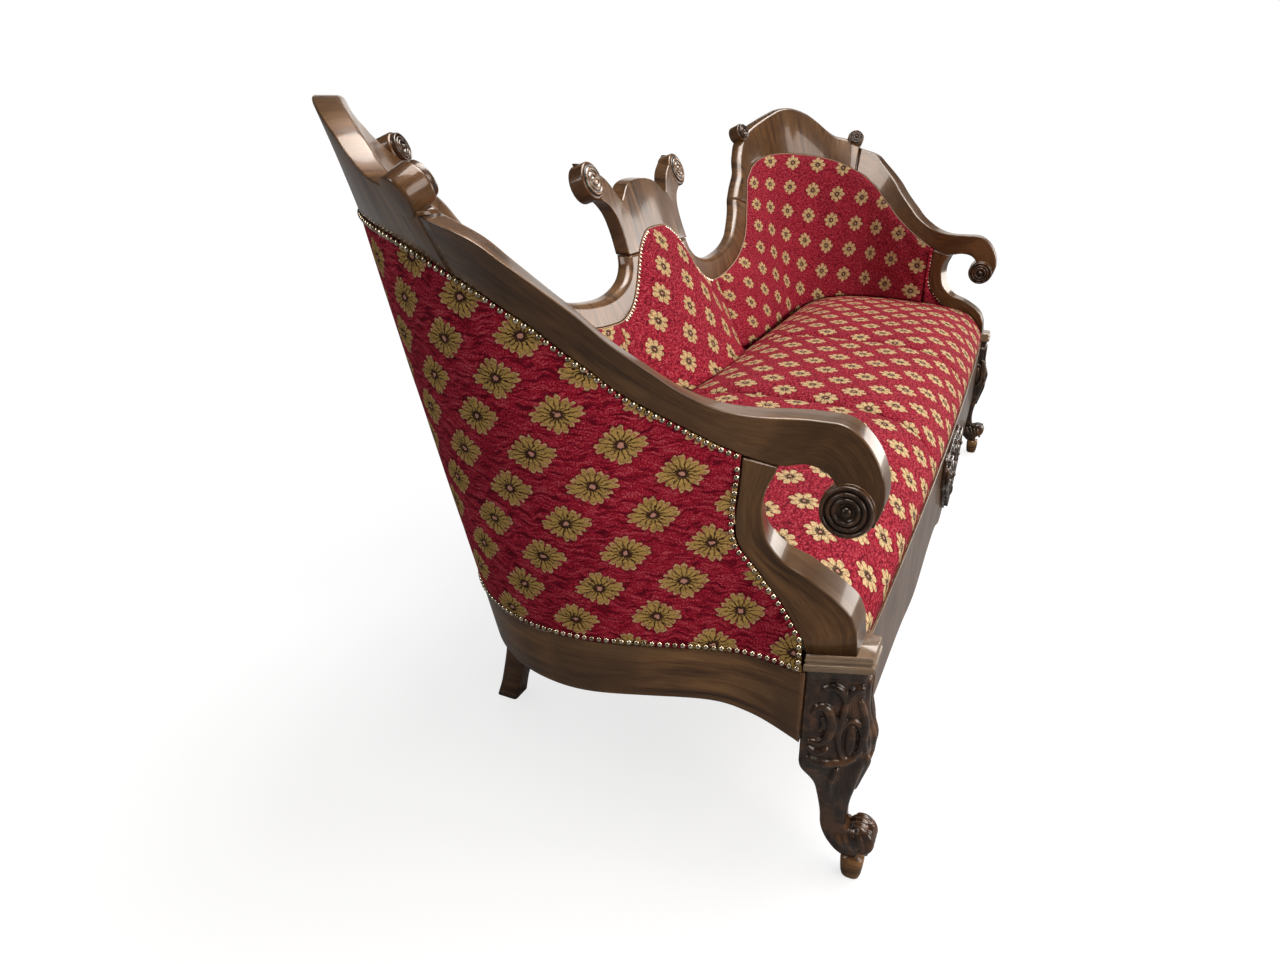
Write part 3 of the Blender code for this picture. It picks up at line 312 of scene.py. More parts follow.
def walnut(name, seed, across=False, tint=1.0, rough=walnutLook["rough"], pale=0.0):
    look = walnutLook
    shader = Shader(name)
    place = shader.uv()
    run, fineRun = (look["length"], look["streak"]), (4.0, 9.0)
    if across:
        run, fineRun = run[::-1], fineRun[::-1]
    grain = shader.stretch(place, (*run, 1.0), (seed, seed * 1.7, seed * 0.6))
    figure = shader.noise(grain, 3.2, 5.0, 0.55, 0.9)
    fine = shader.noise(shader.stretch(grain, (*fineRun, 4.0)), 9.0, 3.0, 0.6)
    cloud = shader.noise(place, 7.0, 2.0)
    color = shader.ramp(figure * 0.62 + fine * 0.24 + cloud * 0.30,
                        [(stop, [c * tint for c in look[kind]])
                         for stop, kind in ((0.42, "dark"), (0.57, "mid"), (0.74, "light"))])
    spots = shader.noise(shader.stretch(place, shift=(seed, 2, 0)), 38.0, 4.0, 0.7)
    spots = shader.smoothstep(spots, 0.66, 0.76)
    shade = shader.smoothstep(cloud + (figure - 0.5) * 0.6, 0.46, 0.62)
    color = shader.coats(color, look, (spots * 0.55, "dark"), (shade * 0.55, "dark"), (fine * pale, "pale"))
    pores = shader.noise(grain, look["pore"] / look["streak"], 2.0)
    return shader.finish(Base_Color=color, Roughness=rough + (cloud - 0.5) * 0.20 + spots * 0.2,
                         Coat_Weight=look["coat"], Coat_Roughness=0.08, Specular_IOR_Level=0.16,
                         Normal=shader.bump(pores * 0.4 + cloud * 0.8, 0.0006, 0.35))


def inWalnut(seed, twinSeed=None, **finish):  # the look of a piece, or of a pair whose twins differ in grain
    return lambda name: walnut(name, twinSeed if twinSeed and "right" in name else seed, **finish)


carvedLook = {"deep": (0.005, 0.0028, 0.002), "dark": (0.046, 0.023, 0.013), "worn": (0.20, 0.100, 0.046),
              "brown": (0.098, 0.043, 0.019), "rough": 0.26}


def carved(name, worn=1.0, rough=carvedLook["rough"]):  # stained nearly black, rubbed brown on high edges, with painted shade darkening the crevices
    look = carvedLook
    shader = Shader(name)
    place = shader.objectPlace()
    point = shader.node("ShaderNodeNewGeometry", None, out=7)
    patch = shader.noise(place, 26.0, 3.0, 0.6)
    streak = shader.noise(shader.stretch(place, (90, 90, 14)), 1.0, 3.0)
    edge = shader.smoothstep(point + (patch - 0.5) * 0.12, 0.50, 0.60)
    # painted shade: the hollows between the carved forms are darkened nearly to black
    creviceShade = shader.smoothstep(point, 0.50, 0.40)
    color = shader.ramp(streak * 0.6 + patch * 0.4, [(0.3, look["deep"]), (0.62, look["dark"])])
    color = shader.coats(color, look, (shader.smoothstep(patch, 0.48, 0.62) * 0.75 * worn, "brown"),
                         (edge * 0.65 * worn, "worn"), (creviceShade * 0.92, "deep"))
    return shader.finish(Base_Color=color, Roughness=rough + (streak - 0.5) * 0.3,
                         Coat_Weight=0.28, Coat_Roughness=0.14, Specular_IOR_Level=0.24,
                         Normal=shader.bump(streak, 0.0006, 0.4))


fabricLook = {
    "red": (0.350, 0.0070, 0.027), "redDark": (0.070, 0.0020, 0.008), "gold": (0.47, 0.290, 0.085),
    "goldDark": (0.12, 0.066, 0.022), "tip": (0.62, 0.37, 0.21), "cream": (0.83, 0.60, 0.33),
    "brown": (0.035, 0.014, 0.009), "heart": (0.50, 0.24, 0.18), "fleck": (0.66, 0.14, 0.16),
    "flower": 0.0318, "rough": 0.90,
}

# least reach of a flower, what its lobes, knobs and width add, how fast its slits narrow, and its dark hub
flowerShapes = {"rosette": (0.56, 0.13, 0.26, 0.09, 1.55, 0.24), "star": (0.48, 0.42, 0.05, 0.04, 2.4, 0.30)}


def rosetteMask(shader, px, py, shape):  # petals with knobs: where petal, rim, drawing, heart and halo show
    least, lobe, knob, wide, narrowing, hub = shape
    radius = shader.math("SQRT", px * px + py * py)
    angle = shader.math("ARCTAN2", py, px)
    cross = shader.math("COSINE", angle * 4)
    lobes, knobs = abs(cross), abs(shader.math("SINE", angle * 8))
    depth = least + (lobes ** 0.7) * lobe + (knobs ** 0.6) * knob + cross * wide - radius
    petal = shader.smoothstep(depth, 0.0, 0.04)
    rim = petal * shader.smoothstep(depth, 0.13, 0.07)
    groove = shader.smoothstep(depth, 0.12, 0.15) * shader.smoothstep(depth, 0.22, 0.17)
    slit = 1.05 - (radius - 0.14) * narrowing  # the dark gaps narrow outwards
    spokes = shader.smoothstep(slit - knobs, -0.04, 0.14) * shader.smoothstep(depth, 0.06, 0.16)
    parting = shader.smoothstep(lobes, 0.30, 0.12) * shader.smoothstep(radius, 0.34, 0.44)
    heart = shader.smoothstep(radius, 0.13, 0.09)
    ring = shader.smoothstep(radius, hub + 0.06, hub - 0.03) * (1 - heart)
    drawing = petal * (spokes * 0.80 + parting * 0.75 + groove * 0.36 + ring * 0.75)
    halo = shader.smoothstep(depth, -0.10, -0.02) * (1 - petal)
    return petal, rim, drawing, heart, halo


def fabric(name, lattice, origin, scale, turn, slub, fine, shape, gilt, seed):
    # flowers stand at whole steps of two lattice vectors in the map's metres; scale trues each flower's shape
    look = fabricLook
    shader = Shader(name)
    place = shader.uv()
    (ax, ay), (bx, by) = lattice
    area = ax * by - ay * bx
    x, y, _ = shader.split(shader.stretch(place, (1, 1, 0), (-origin[0], -origin[1], 0)))
    row = shader.math("ROUND", x * (by / area) - y * (bx / area))
    column = shader.math("ROUND", y * (ax / area) - x * (ay / area))
    dx = (x - row * ax - column * bx) * scale[0]
    dy = (y - row * ay - column * by) * scale[1]
    wobble = shader.noise(place, 170.0, 2.0) - 0.5
    sway = shader.noise(shader.stretch(place, shift=(3, 5, 0)), 170.0, 2.0) - 0.5
    px = (dx * cos(turn) + dy * sin(turn)) / look["flower"] + wobble * 0.26
    py = (dy * cos(turn) - dx * sin(turn)) / look["flower"] + sway * 0.26
    petal, rim, drawing, heart, halo = rosetteMask(shader, px, py, flowerShapes[shape])
    # the weave: raised slubs with dark furrows between them, and fine grit
    bend = shader.noise(place, 30.0, 2.0)
    grain = shader.stretch(shader.blend(0.028, place, bend, "ADD"), (*slub, 1), (seed, seed, 0))
    wave = shader.noise(grain, 1.0, 3.0, 0.6, 0.35)
    grit = shader.noise(place, fine, 2.0, 0.6)
    furrow = shader.smoothstep(wave, 0.51, 0.37)
    dark = shader.smoothstep(grit, 0.52, 0.36)
    bright = shader.smoothstep(grit * 0.6 + wave * 0.5, 0.56, 0.68)
    cloud = shader.noise(place, 9.0, 2.0)
    gold = shader.coats(look["gold"], look, (rim * 0.85, "tip"), (gilt, "cream"),
                        (furrow * 0.40 + dark * 0.45, "goldDark"))
    color = shader.coats(look["red"], look, (furrow * 0.85, "redDark"), (dark * 0.60, "redDark"),
                         (bright * 0.55, "fleck"), ((cloud - 0.35) * 0.5, "redDark"), (halo * 0.6, "redDark"),
                         (petal, gold), (drawing, "brown"), (heart, "heart"))
    relief = wave * 0.8 + grit * 0.3 + petal * 0.15 - drawing * 0.2
    return shader.finish(Base_Color=color, Roughness=look["rough"] + furrow * 0.06, Specular_IOR_Level=0.06,
                         Normal=shader.bump(relief, 0.0014, 0.9))


def brass(name):
    shader = Shader(name)
    patina = shader.noise(shader.objectPlace(), 90.0, 3.0, 0.6)
    color = shader.ramp(patina, [(0.35, (0.20, 0.15, 0.095)), (0.62, (0.62, 0.54, 0.41))])
    return shader.finish(Base_Color=color, Metallic=1.0, Roughness=0.10 + patina * 0.22)


def gimp(name):
    shader = Shader(name)
    twist = shader.noise(shader.objectPlace(), 700.0, 2.0)
    color = shader.ramp(twist, [(0.35, (0.26, 0.11, 0.06)), (0.65, (0.50, 0.32, 0.19))])
    return shader.finish(Base_Color=color, Roughness=0.85, Normal=shader.bump(twist, 0.0008))


def beech(name):
    shader = Shader(name)
    place = shader.objectPlace()
    rings = shader.noise(shader.stretch(place, (40, 40, 6)), 1.0, 4.0, 0.6, 0.5)
    flecks = shader.noise(shader.stretch(place, (260, 260, 70)), 1.0, 2.0)
    color = shader.ramp(rings * 0.7 + flecks * 0.3, [(0.32, (0.19, 0.105, 0.05)), (0.66, (0.42, 0.27, 0.15))])
    return shader.finish(Base_Color=color, Roughness=0.62 + flecks * 0.15,
                         Normal=shader.bump(flecks, 0.0004, 0.5))


def jute(name):
    shader = Shader(name)
    place = shader.objectPlace()
    warp, weft = [shader.node("ShaderNodeTexWave", {"bands_direction": way}, out=1, Vector=place, Scale=320.0,
                              Distortion=1.2) for way in "XY"]
    fleck = shader.noise(place, 240.0, 3.0)
    weave = warp * 0.5 + weft * 0.5
    color = shader.ramp(weave * 0.5 + fleck * 0.5, [(0.25, (0.15, 0.10, 0.05)), (0.7, (0.42, 0.32, 0.20))])
    return shader.finish(Base_Color=color, Roughness=0.92 + fleck * 0.05, Normal=shader.bump(weave, 0.0008))


def springSteel(name):
    shader = Shader(name)
    drawn = shader.noise(shader.objectPlace(), 180.0, 3.0)
    color = shader.ramp(drawn, [(0.3, (0.28, 0.26, 0.24)), (0.7, (0.55, 0.53, 0.50))])
    return shader.finish(Base_Color=color, Metallic=1.0, Roughness=0.28 + drawn * 0.25)


# Mesh helpers
def linked(name, data):
    piece = bpy.data.objects.new(name, data)
    bpy.context.scene.collection.objects.link(piece)
    return piece


def addPiece(name, mesh, look, slotName, *replaced, even=False):
    piece = linked(name, mesh)
    mesh.materials.clear()
    mesh.materials.append(look(f"{name}_look"))
    mesh.shade_smooth()
    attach(piece, "root")
    if replaced:
        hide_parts(*replaced)
    if even:  # flat faces stay flat beside their rounded edges
        piece.modifiers.new("even", "WEIGHTED_NORMAL").keep_sharp = True


def pair(stem, mesh, look, slotName, *replaced, even=False):  # the right-hand piece and its left twin
    for side, shape in (("right", mesh), ("left", twinOf(mesh))):
        addPiece(f"{stem}_{side}", shape, look, slotName, *[f"{node}_{side}" for node in replaced], even=even)


def meshFrom(body):
    mesh = bpy.data.meshes.new("mesh")
    body.to_mesh(mesh)
    body.free()
    return mesh


def meshOf(points, faces, uvs=None):  # uvs holds one pair for each corner of each face
    mesh = bpy.data.meshes.new("mesh")
    mesh.from_pydata(points, [], faces)
    if uvs:
        layer = mesh.uv_layers.new(name="metres")
        layer.data.foreach_set("uv", [value for face in uvs for pair in face for value in pair])
    return faceOut(mesh)


def faceOut(mesh):
    body = bmesh.new()
    body.from_mesh(mesh)
    bmesh.ops.recalc_face_normals(body, faces=body.faces)
    if body.calc_volume(signed=True) < 0:
        bmesh.ops.reverse_faces(body, faces=body.faces)
    body.to_mesh(mesh)
    body.free()
    return mesh


def mapPlainly(body):
    layer = body.loops.layers.uv.new("metres")
    for face in body.faces:
        for corner in face.loops:
            corner[layer].uv = (corner.vert.co.x, corner.vert.co.y + corner.vert.co.z)


def joined(*meshes):
    body = bmesh.new()
    for mesh in meshes:
        body.from_mesh(mesh)
    return meshFrom(body)


def twinOf(mesh):
    twin = mesh.copy()
    twin.transform(Matrix.Scale(-1, 4, Vector((1, 0, 0))))
    twin.flip_normals()
    return twin


def angles(count, shift=0.0):
    return [2 * pi * (k + shift) / count for k in range(count)]


def cornered(value, power):  # a sine or cosine drawn towards its square's corners
    return abs(value) ** power * (1 if value > 0 else -1)


def ringFaces(count, rows):  # the faces between rings of points
    return [[low + k, low + (k + 1) % count, low + count + (k + 1) % count, low + count + k]
            for low in range(0, rows * count, count) for k in range(count)]


def loft(rings, swap=False):  # a closed solid through rings of the same count
    count = len(rings[0])
    middle = rings[len(rings) // 2]
    around, along = [0.0], [0.0]
    for k in range(count):
        around.append(around[-1] + (middle[(k + 1) % count] - middle[k]).length)
    for a, b in zip(rings, rings[1:]):
        along.append(along[-1] + sum((p - q).length for p, q in zip(a, b)) / count)
    uvs = []
    for low, high in zip(along, along[1:]):
        for start, end in zip(around, around[1:]):
            pairs = [(low, start), (low, end), (high, end), (high, start)]
            uvs.append([(b, a) for a, b in pairs] if swap else pairs)
    faces = ringFaces(count, len(rings) - 1)
    for ring, first in ((rings[0], 0), (rings[-1], (len(rings) - 1) * count)):
        faces.append([first + k for k in range(count)])
        uvs.append([(0.3 * (point - ring[0]).z, (point - ring[0]).length) for point in ring])
    return meshOf([point for ring in rings for point in ring], faces, uvs)


def rounded(corners, radii, steps=3):  # a four-cornered section with round corners
    ring = []
    for k, (corner, radius) in enumerate(zip(corners, radii)):
        back, ahead = corners[k - 1] - corner, corners[(k + 1) % 4] - corner
        start = back.normalized() * min(radius, back.length * 0.48)
        end = ahead.normalized() * min(radius, ahead.length * 0.48)
        ring += [corner + start * (1 - sin(pi / 2 * i / steps)) + end * (1 - cos(pi / 2 * i / steps))
                 for i in range(steps + 1)]
    return ring


def stood(mesh, place, axis):  # a mesh made about the upright, moved to its place and axis
    mesh.transform(Matrix.Translation(place) @ axis.to_track_quat("Z", "Y").to_matrix().to_4x4())
    return mesh


def turned(profile, place, axis, steps=32):  # a profile of (radius, height) about an axis
    body = bmesh.new()
    rings = [[body.verts.new((radius * cos(a), radius * sin(a), level))
              for a in angles(steps if radius else 1)] for radius, level in profile]
    for low, high in zip(rings, rings[1:]):
        for k in range(steps):
            after = (k + 1) % steps
            corners = list(dict.fromkeys([low[k % len(low)], low[after % len(low)],
                                          high[after % len(high)], high[k % len(high)]]))
            if len(corners) > 2:
                body.faces.new(corners)
    mapPlainly(body)
    return stood(faceOut(meshFrom(body)), place, axis)


# Show-wood: the arms, crests, valleys, arm supports and middle crest
show = {"armEdges": (0.003, 0.004, 0.003, 0.002), "crestEdges": (0.0035, 0.007, 0.003, 0.002),
        "valleyEdges": (0.010, 0.014, 0.004, 0.002), "supportEdges": (0.0025, 0.0025, 0.002, 0.0015),
        "middleEdge": 0.006, "middleHalf": 0.15,
        "supportFoot": (0.018, 0.166), "rounding": (1.80, 0.2), "steps": 6}
scrolls = {
    "arm": {"at": [(0.098, 0.320)], "radius": 0.035, "edge": 0.003, "rosette": 0.034, "steps": 48},
    "crest": {"at": [(1.0875, 0.858), (1.9025, 0.8885)], "radius": 0.026, "edge": 0.004, "rosette": 0.0225,
              "steps": 40},
    "center": {"at": [(2.699, 0.772)], "radius": 0.041, "edge": 0.005, "rosette": 0.034, "steps": 48},
    "proud": 0.002,
}


def bar(rows, radii, steps=3):  # rows of (u, height share) of the upper and of the lower edge
    rings = []
    for row in rows:
        top, low = row[:2], row[2:]
        corners = [shell(u, heightOf(share), side * woodThick(u), True)
                   for (u, share), side in ((top, 0), (top, 1), (low, 1), (low, 0))]
        rings.append(rounded(corners, radii(top[0]), steps))
    return loft(rings)


def scrollAt(name, number=0):  # a scroll's middle, axis and thickness
    u, share = scrolls[name]["at"][number]
    z, half, step = heightOf(share), woodThick(u) / 2, 0.001
    along = shell(u + step, z, half, True) - shell(u - step, z, half, True)
    up = shell(u, z + step, half, True) - shell(u, z - step, half, True)
    axis = up.cross(along).normalized()
    if u > 2:
        axis = Vector((0, axis.y, axis.z)).normalized()
    turn = inward(u, z)
    flat = axis.x * turn.x + axis.y * turn.y
    return shell(u, z, half, True), axis if flat > 0 else -axis, 2 * (abs(flat) * half + scrolls["proud"])


def scrollDiscs(name):
    scroll, discs = scrolls[name], []
    for number in range(len(scroll["at"])):
        center, axis, thick = scrollAt(name, number)
        half, edge = thick / 2, scroll["edge"]
        arc = [(scroll["radius"] - edge + edge * sin(pi / 2 * k / 4),
                half - edge + edge * cos(pi / 2 * k / 4)) for k in range(5)]
        profile = [(0, half)] + arc + [(r, -h) for r, h in arc[::-1]] + [(0, -half)]
        discs.append(turned(profile, center, axis, scroll["steps"]))
    return discs


def onNailLine(rows, first=0):
    rows = [tuple(row) for row in rows]
    return [(*row[:3], between(nailLine, row[2])) if len(row) == 3 or row[2] >= first else row
            for row in rows]


def backBar(name, edges, steps=3):  # a bar along the back's top, a joint's width from the one before it
    (u, share, foot), *others = outline[name]
    rows = [(u + wood["joint"], share, foot + wood["joint"]), *others]
    return bar(onNailLine(smoothRows(rows, show["steps"])), edges, steps)


def makeArms():
    under = [(u, between(nailLine, u)) for u in outline["armFoot"]] + outline["armUnder"]
    rows = smoothRows([(*top, *low) for top, low in zip(outline["armTop"], under)], show["steps"])
    body = bar(onNailLine(rows, outline["armFoot"][-1]), lambda u: show["armEdges"])
    pair("arm", joined(body, *scrollDiscs("arm")), inWalnut(1.0, 4.0, tint=0.9), "walnut", "arm_rail",
         even=True)


def makeCrests():
    def edges(u):
        start, run = show["rounding"]
        share = ease((u - start) / run)
        return [mixed(a, b, share) for a, b in zip(show["crestEdges"], show["valleyEdges"])]

    pair("crest", joined(backBar("crest", edges), *scrollDiscs("crest")), inWalnut(7.0, 11.0, across=True),
         "walnut", "crest")


def makeValleys():
    pair("valley", backBar("valley", lambda u: show["valleyEdges"], 4),
         inWalnut(3.0, 5.5, across=True, tint=1.15), "walnut", "valley_rail", even=True)


def makeArmSupports():
    foot = (plan["legTop"] + plan["capRise"] + wood["gap"] - plan["railTop"]) / rise
    front, back = show["supportFoot"]
    rings = []
    for row in [*smoothRows(outline["stile"], 5), (front, foot, back, foot)]:
        ends = []
        for u, share in (row[:2], row[2:]):
            thick = wood["thick"] * between(outline["stileThick"], share)
            ends.append([shell(u, heightOf(share), side * thick) for side in (0, 1)])
        (frontOut, frontIn), (backOut, backIn) = ends
        rings.append(rounded([frontOut, frontIn, backIn, backOut], show["supportEdges"]))
    pair("arm_support", loft(rings), inWalnut(2.2, 6.1, tint=0.95), "walnut", "arm_stile", even=True)


def makeMiddleCrest():
    side, horn = outline["centerSide"], outline["centerHorn"]
    edge = [Vector(point) for point in side[:2]] + smoothRows(side[1:], 5)[1:] + smoothRows(horn, 5)
    half = [shell(u, heightOf(share), 0.0, True) for u, share in edge]
    low = [shell(u, nailHeight(u), 0.0)
           for u in [side[0][0] + show["middleHalf"] * k / 14 for k in range(13, 0, -1)]]
    mirror = [Vector((-point.x, point.y, point.z)) for point in low + half[:-1]]
    loop = half[:-1] + [shell(3, heightOf(horn[-1][1]), 0.0, True)] + mirror[:len(low) - 1:-1]
    loop += mirror[len(low) - 1::-1] + [shell(3, nailHeight(3), 0.0)] + low
    body = bmesh.new()
    face = body.faces.new([body.verts.new(point) for point in loop])
    grown = bmesh.ops.extrude_face_region(body, geom=[face])
    moved = [item for item in grown["geom"] if isinstance(item, bmesh.types.BMVert)]
    bmesh.ops.translate(body, verts=moved, vec=(0, -woodThick(3), 0))
    bmesh.ops.recalc_face_normals(body, faces=body.faces)
    rim = [e for e in body.edges if len(e.link_faces) == 2 and max(len(f.verts) for f in e.link_faces) > 8]
    bmesh.ops.bevel(body, geom=rim, offset=show["middleEdge"], segments=4, profile=0.5, affect="EDGES",
                    clamp_overlap=True)
    bmesh.ops.triangulate(body, faces=[f for f in body.faces if len(f.verts) > 4])
    mapPlainly(body)
    disc, = scrollDiscs("center")
    addPiece("middle_crest", joined(meshFrom(body), disc, twinOf(disc)), inWalnut(9.0, across=True, tint=1.1),
             "walnut", "crest_center", even=True)


# Turned rosettes, ebonised, and the carved spirals on the middle crest
rosette = {"thick": 0.0095, "steps": 44, "rings": [0.90, 0.66, 0.45], "ringWidth": 0.095, "ringRise": 0.42,
           "button": 0.21, "buttonRise": 0.55, "moat": 0.30, "moatFall": 0.25, "slope": (0.30, 0.22)}
spiral = {"height": 0.006, "rings": 34, "sectors": 96, "turns": 3.1, "eye": 0.14}


def domed(x):
    return max(0.0, 1 - x ** 2) ** 0.5


def rosetteProfile(radius):
    profile = [(radius, 0.0)]
    start, slope = rosette["slope"]
    for k in range(rosette["steps"]):
        r = 1 - k / rosette["steps"]
        level = start + slope * (1 - r)
        for ring in rosette["rings"]:
            level += rosette["ringRise"] * domed((r - ring) / rosette["ringWidth"])
        level += rosette["buttonRise"] * domed(r / rosette["button"])
        level -= rosette["moatFall"] * (rosette["button"] < r < rosette["moat"])
        profile.append((radius * r, rosette["thick"] * level * min(1.0, (1 - r) / 0.02 + 0.4)))
    return profile + [(0, rosette["thick"] * 1.07)]


def makeRosettes():
    for stem, name, number, side in (
            ("arm_rosette_inner", "arm", 0, 1), ("arm_rosette_outer", "arm", 0, -1),
            ("crest_rosette_side", "crest", 0, 1), ("crest_rosette_back", "crest", 1, 1)):
        center, axis, thick = scrollAt(name, number)
        axis = axis * side
        place = center + axis * (thick / 2 + wood["gap"])
        mesh = turned(rosetteProfile(scrolls[name]["rosette"]), place, axis)
        pair(stem, mesh, lambda name: carved(name, 0.5), "carved_wood", stem)


def spiralLook(name):
    shader = Shader(name)
    dark = shader.node("ShaderNodeAttribute", {"attribute_name": "groove"}, out=2)
    patch = shader.noise(shader.objectPlace(), 60.0, 3.0)
    color = shader.ramp(patch, [(0.3, walnutLook["mid"]), (0.7, walnutLook["light"])])
    color = shader.blend(shader.smoothstep(dark, 0.30, 0.62), color, carvedLook["deep"])
    return shader.finish(Base_Color=color, Roughness=0.26 + patch * 0.1, Coat_Weight=0.3)


def makeSpirals():  # a raised spiral ribbon with dark grooves
    radius, sectors, rings = scrolls["center"]["rosette"], spiral["sectors"], spiral["rings"]
    points, groove = [], []
    for i in range(rings + 1):
        r = i / rings
        for k, a in enumerate(angles(sectors)):
            phase = (r * spiral["turns"] + k / sectors) % 1.0
            level = max(0.0, 0.5 - 0.5 * cos(2 * pi * phase)) ** 0.6
            level = mixed(level, 1.0, ease((spiral["eye"] - r) / 0.08)) * min(1.0, (1 - r) * 9)
            points.append((radius * r * cos(a), radius * r * sin(a),
                           spiral["height"] * (0.25 + 0.65 * level * (1.0 - 0.35 * r))))
            groove.append(1 - level)
    points += [(radius * cos(a), radius * sin(a), 0) for a in angles(sectors)]
    mesh = bpy.data.meshes.new("spiral")
    mesh.from_pydata(points, [], ringFaces(sectors, rings + 1) + [[len(groove) + k for k in range(sectors)]])
    mesh.attributes.new("groove", "FLOAT", "POINT").data.foreach_set("value", groove + [1.0] * sectors)
    body = bmesh.new()
    body.from_mesh(mesh)
    bmesh.ops.remove_doubles(body, verts=body.verts, dist=0.00001)
    bmesh.ops.recalc_face_normals(body, faces=body.faces)
    body.to_mesh(mesh)
    body.free()
    center, axis, thick = scrollAt("center")
    pair("middle_spiral", stood(mesh, center + axis * (thick / 2 + wood["gap"]), axis), spiralLook,
         "carved_wood", "center_rosette")


makeArms()
makeCrests()
makeValleys()
makeArmSupports()
makeMiddleCrest()
makeRosettes()
makeSpirals()
print("show-wood made")


# Seat rails, caps and plain legs
rails = {
    "thick": 0.045, "end": 2.05, "apronHeight": 0.185, "apronThick": 0.028, "bow": 0.012, "inset": 0.006,
    "edge": [(-1.0, 0.97), (-0.85, 0.95), (-0.62, 0.97), (-0.42, 1.10), (-0.24, 0.98), (-0.12, 0.99),
             (0.0, 1.16), (0.12, 0.99), (0.24, 0.98), (0.42, 1.10), (0.62, 0.97), (0.85, 0.95), (1.0, 0.97)],
    "edges": (0.001, 0.001, 0.004, 0.006), "apronEdges": (0.0015, 0.0015, 0.007, 0.004),
}


def apronFront(x):
    return plan["frontY"] + rails["inset"] - rails["bow"] * (1 - (x / block["lowX"]) ** 2)


def railStart(z):  # the u where the block's back meets the side rail
    return (block["highY"] + wood["gap"] - plan["frontY"]) / (atHeight("depth", z) - atHeight("radius", z))


def railCorners(u, drop):
    low = plan["railTop"] * (1 - drop)
    return [shell(max(u, railStart(z)), z, depth) for z, depth in (
        (plan["railTop"], 0), (plan["railTop"], rails["thick"]), (low, rails["thick"]), (low, 0))]


def acrossMiddle(place, share, gap):  # a place on the right moved to a share of its way across, gap short
    return Vector((share * (place.x - gap), place.y, place.z))


def makeRails():
    rings = [rounded(railCorners(*row), rails["edges"]) for row in smoothRows(outline["sideRail"], 6)]
    pair("side_rail", loft(rings), inWalnut(2.0, 8.0), "walnut", "side_rail")

    end = railCorners(rails["end"], outline["sideRail"][-1][1])
    rings = [rounded([acrossMiddle(place, k / 8, wood["gap"]) for place in end], rails["edges"])
             for k in range(-8, 9)]
    addPiece("back_rail_wood", loft(rings), inWalnut(5.0), "walnut", "back_rail", even=True)

    back = plan["frontY"] + rails["inset"] + rails["apronThick"]
    rings = []
    for share, drop in smoothRows(rails["edge"], 8):
        x = share * (block["lowX"] - wood["gap"])
        front, top = apronFront(x), plan["railTop"]
        low = top - rails["apronHeight"] * drop
        corners = [Vector((x, y, z)) for y, z in ((front, top), (back, top), (back, low), (front, low))]
        rings.append(rounded(corners, rails["apronEdges"], 4))
    addPiece("apron", loft(rings), inWalnut(6.0, across=True), "walnut", "front_rail", even=True)


cap = {"profile": [(0.0, 0.30), (0.03, 0.90), (0.07, 1.0), (0.40, 1.0), (0.44, 0.80), (0.46, 0.10),
                   (0.52, 0.0), (0.56, 0.10), (0.60, 0.55), (0.66, 0.70), (0.76, 0.62), (0.82, 0.20),
                   (0.86, 0.30), (1.0, 0.25)], "over": 0.004, "edge": 0.0014}


def makeCaps():
    rings = []
    for level, share in cap["profile"]:
        out = share * cap["over"]
        side, back, front = block["highX"] + out, block["highY"] + out / 2, block["lowY"] - out
        corners = [(side + blockTurn(back, plan["legTop"]), back), (block["lowX"], back),
                   (block["lowX"], front), (side + blockTurn(front, plan["legTop"]), front)]
        z = plan["legTop"] + level * plan["capRise"]
        rings.append(rounded([Vector((*corner, z)) for corner in corners], [cap["edge"]] * 4))
    pair("cap", loft(rings), inWalnut(3.3, across=True, tint=1.25, pale=0.9), "walnut", "leg_cap")


rear = {"width": 0.045, "edge": 0.006, "u": 1.93, "depth": 0.024, "rake": 0.086, "inward": 0.056,
        "curve": 1.3, "swell": [(0.0, 0.96), (0.15, 0.88), (0.45, 0.90), (0.8, 1.0), (1.0, 1.0)]}


def makeRearLegs():
    top = plan["railTop"] * (1 - outline["sideRail"][-1][1]) - wood["gap"]
    start = shell(rear["u"], top, rear["depth"])
    rings = []
    for level in [k / 18 for k in range(19)]:
        half = rear["width"] / 2 * between(rear["swell"], level)
        run = (1 - level) ** rear["curve"]
        x, y = start.x - rear["inward"] * run, start.y + rear["rake"] * run
        corners = [Vector((x + sx * half, y + sy * half, level * top))
                   for sx, sy in ((1, 1), (-1, 1), (-1, -1), (1, -1))]
        rings.append(rounded(corners, [rear["edge"]] * 4))
    pair("rear_leg_wood", loft(rings, swap=True), inWalnut(4.4, tint=0.8), "walnut", "rear_leg")


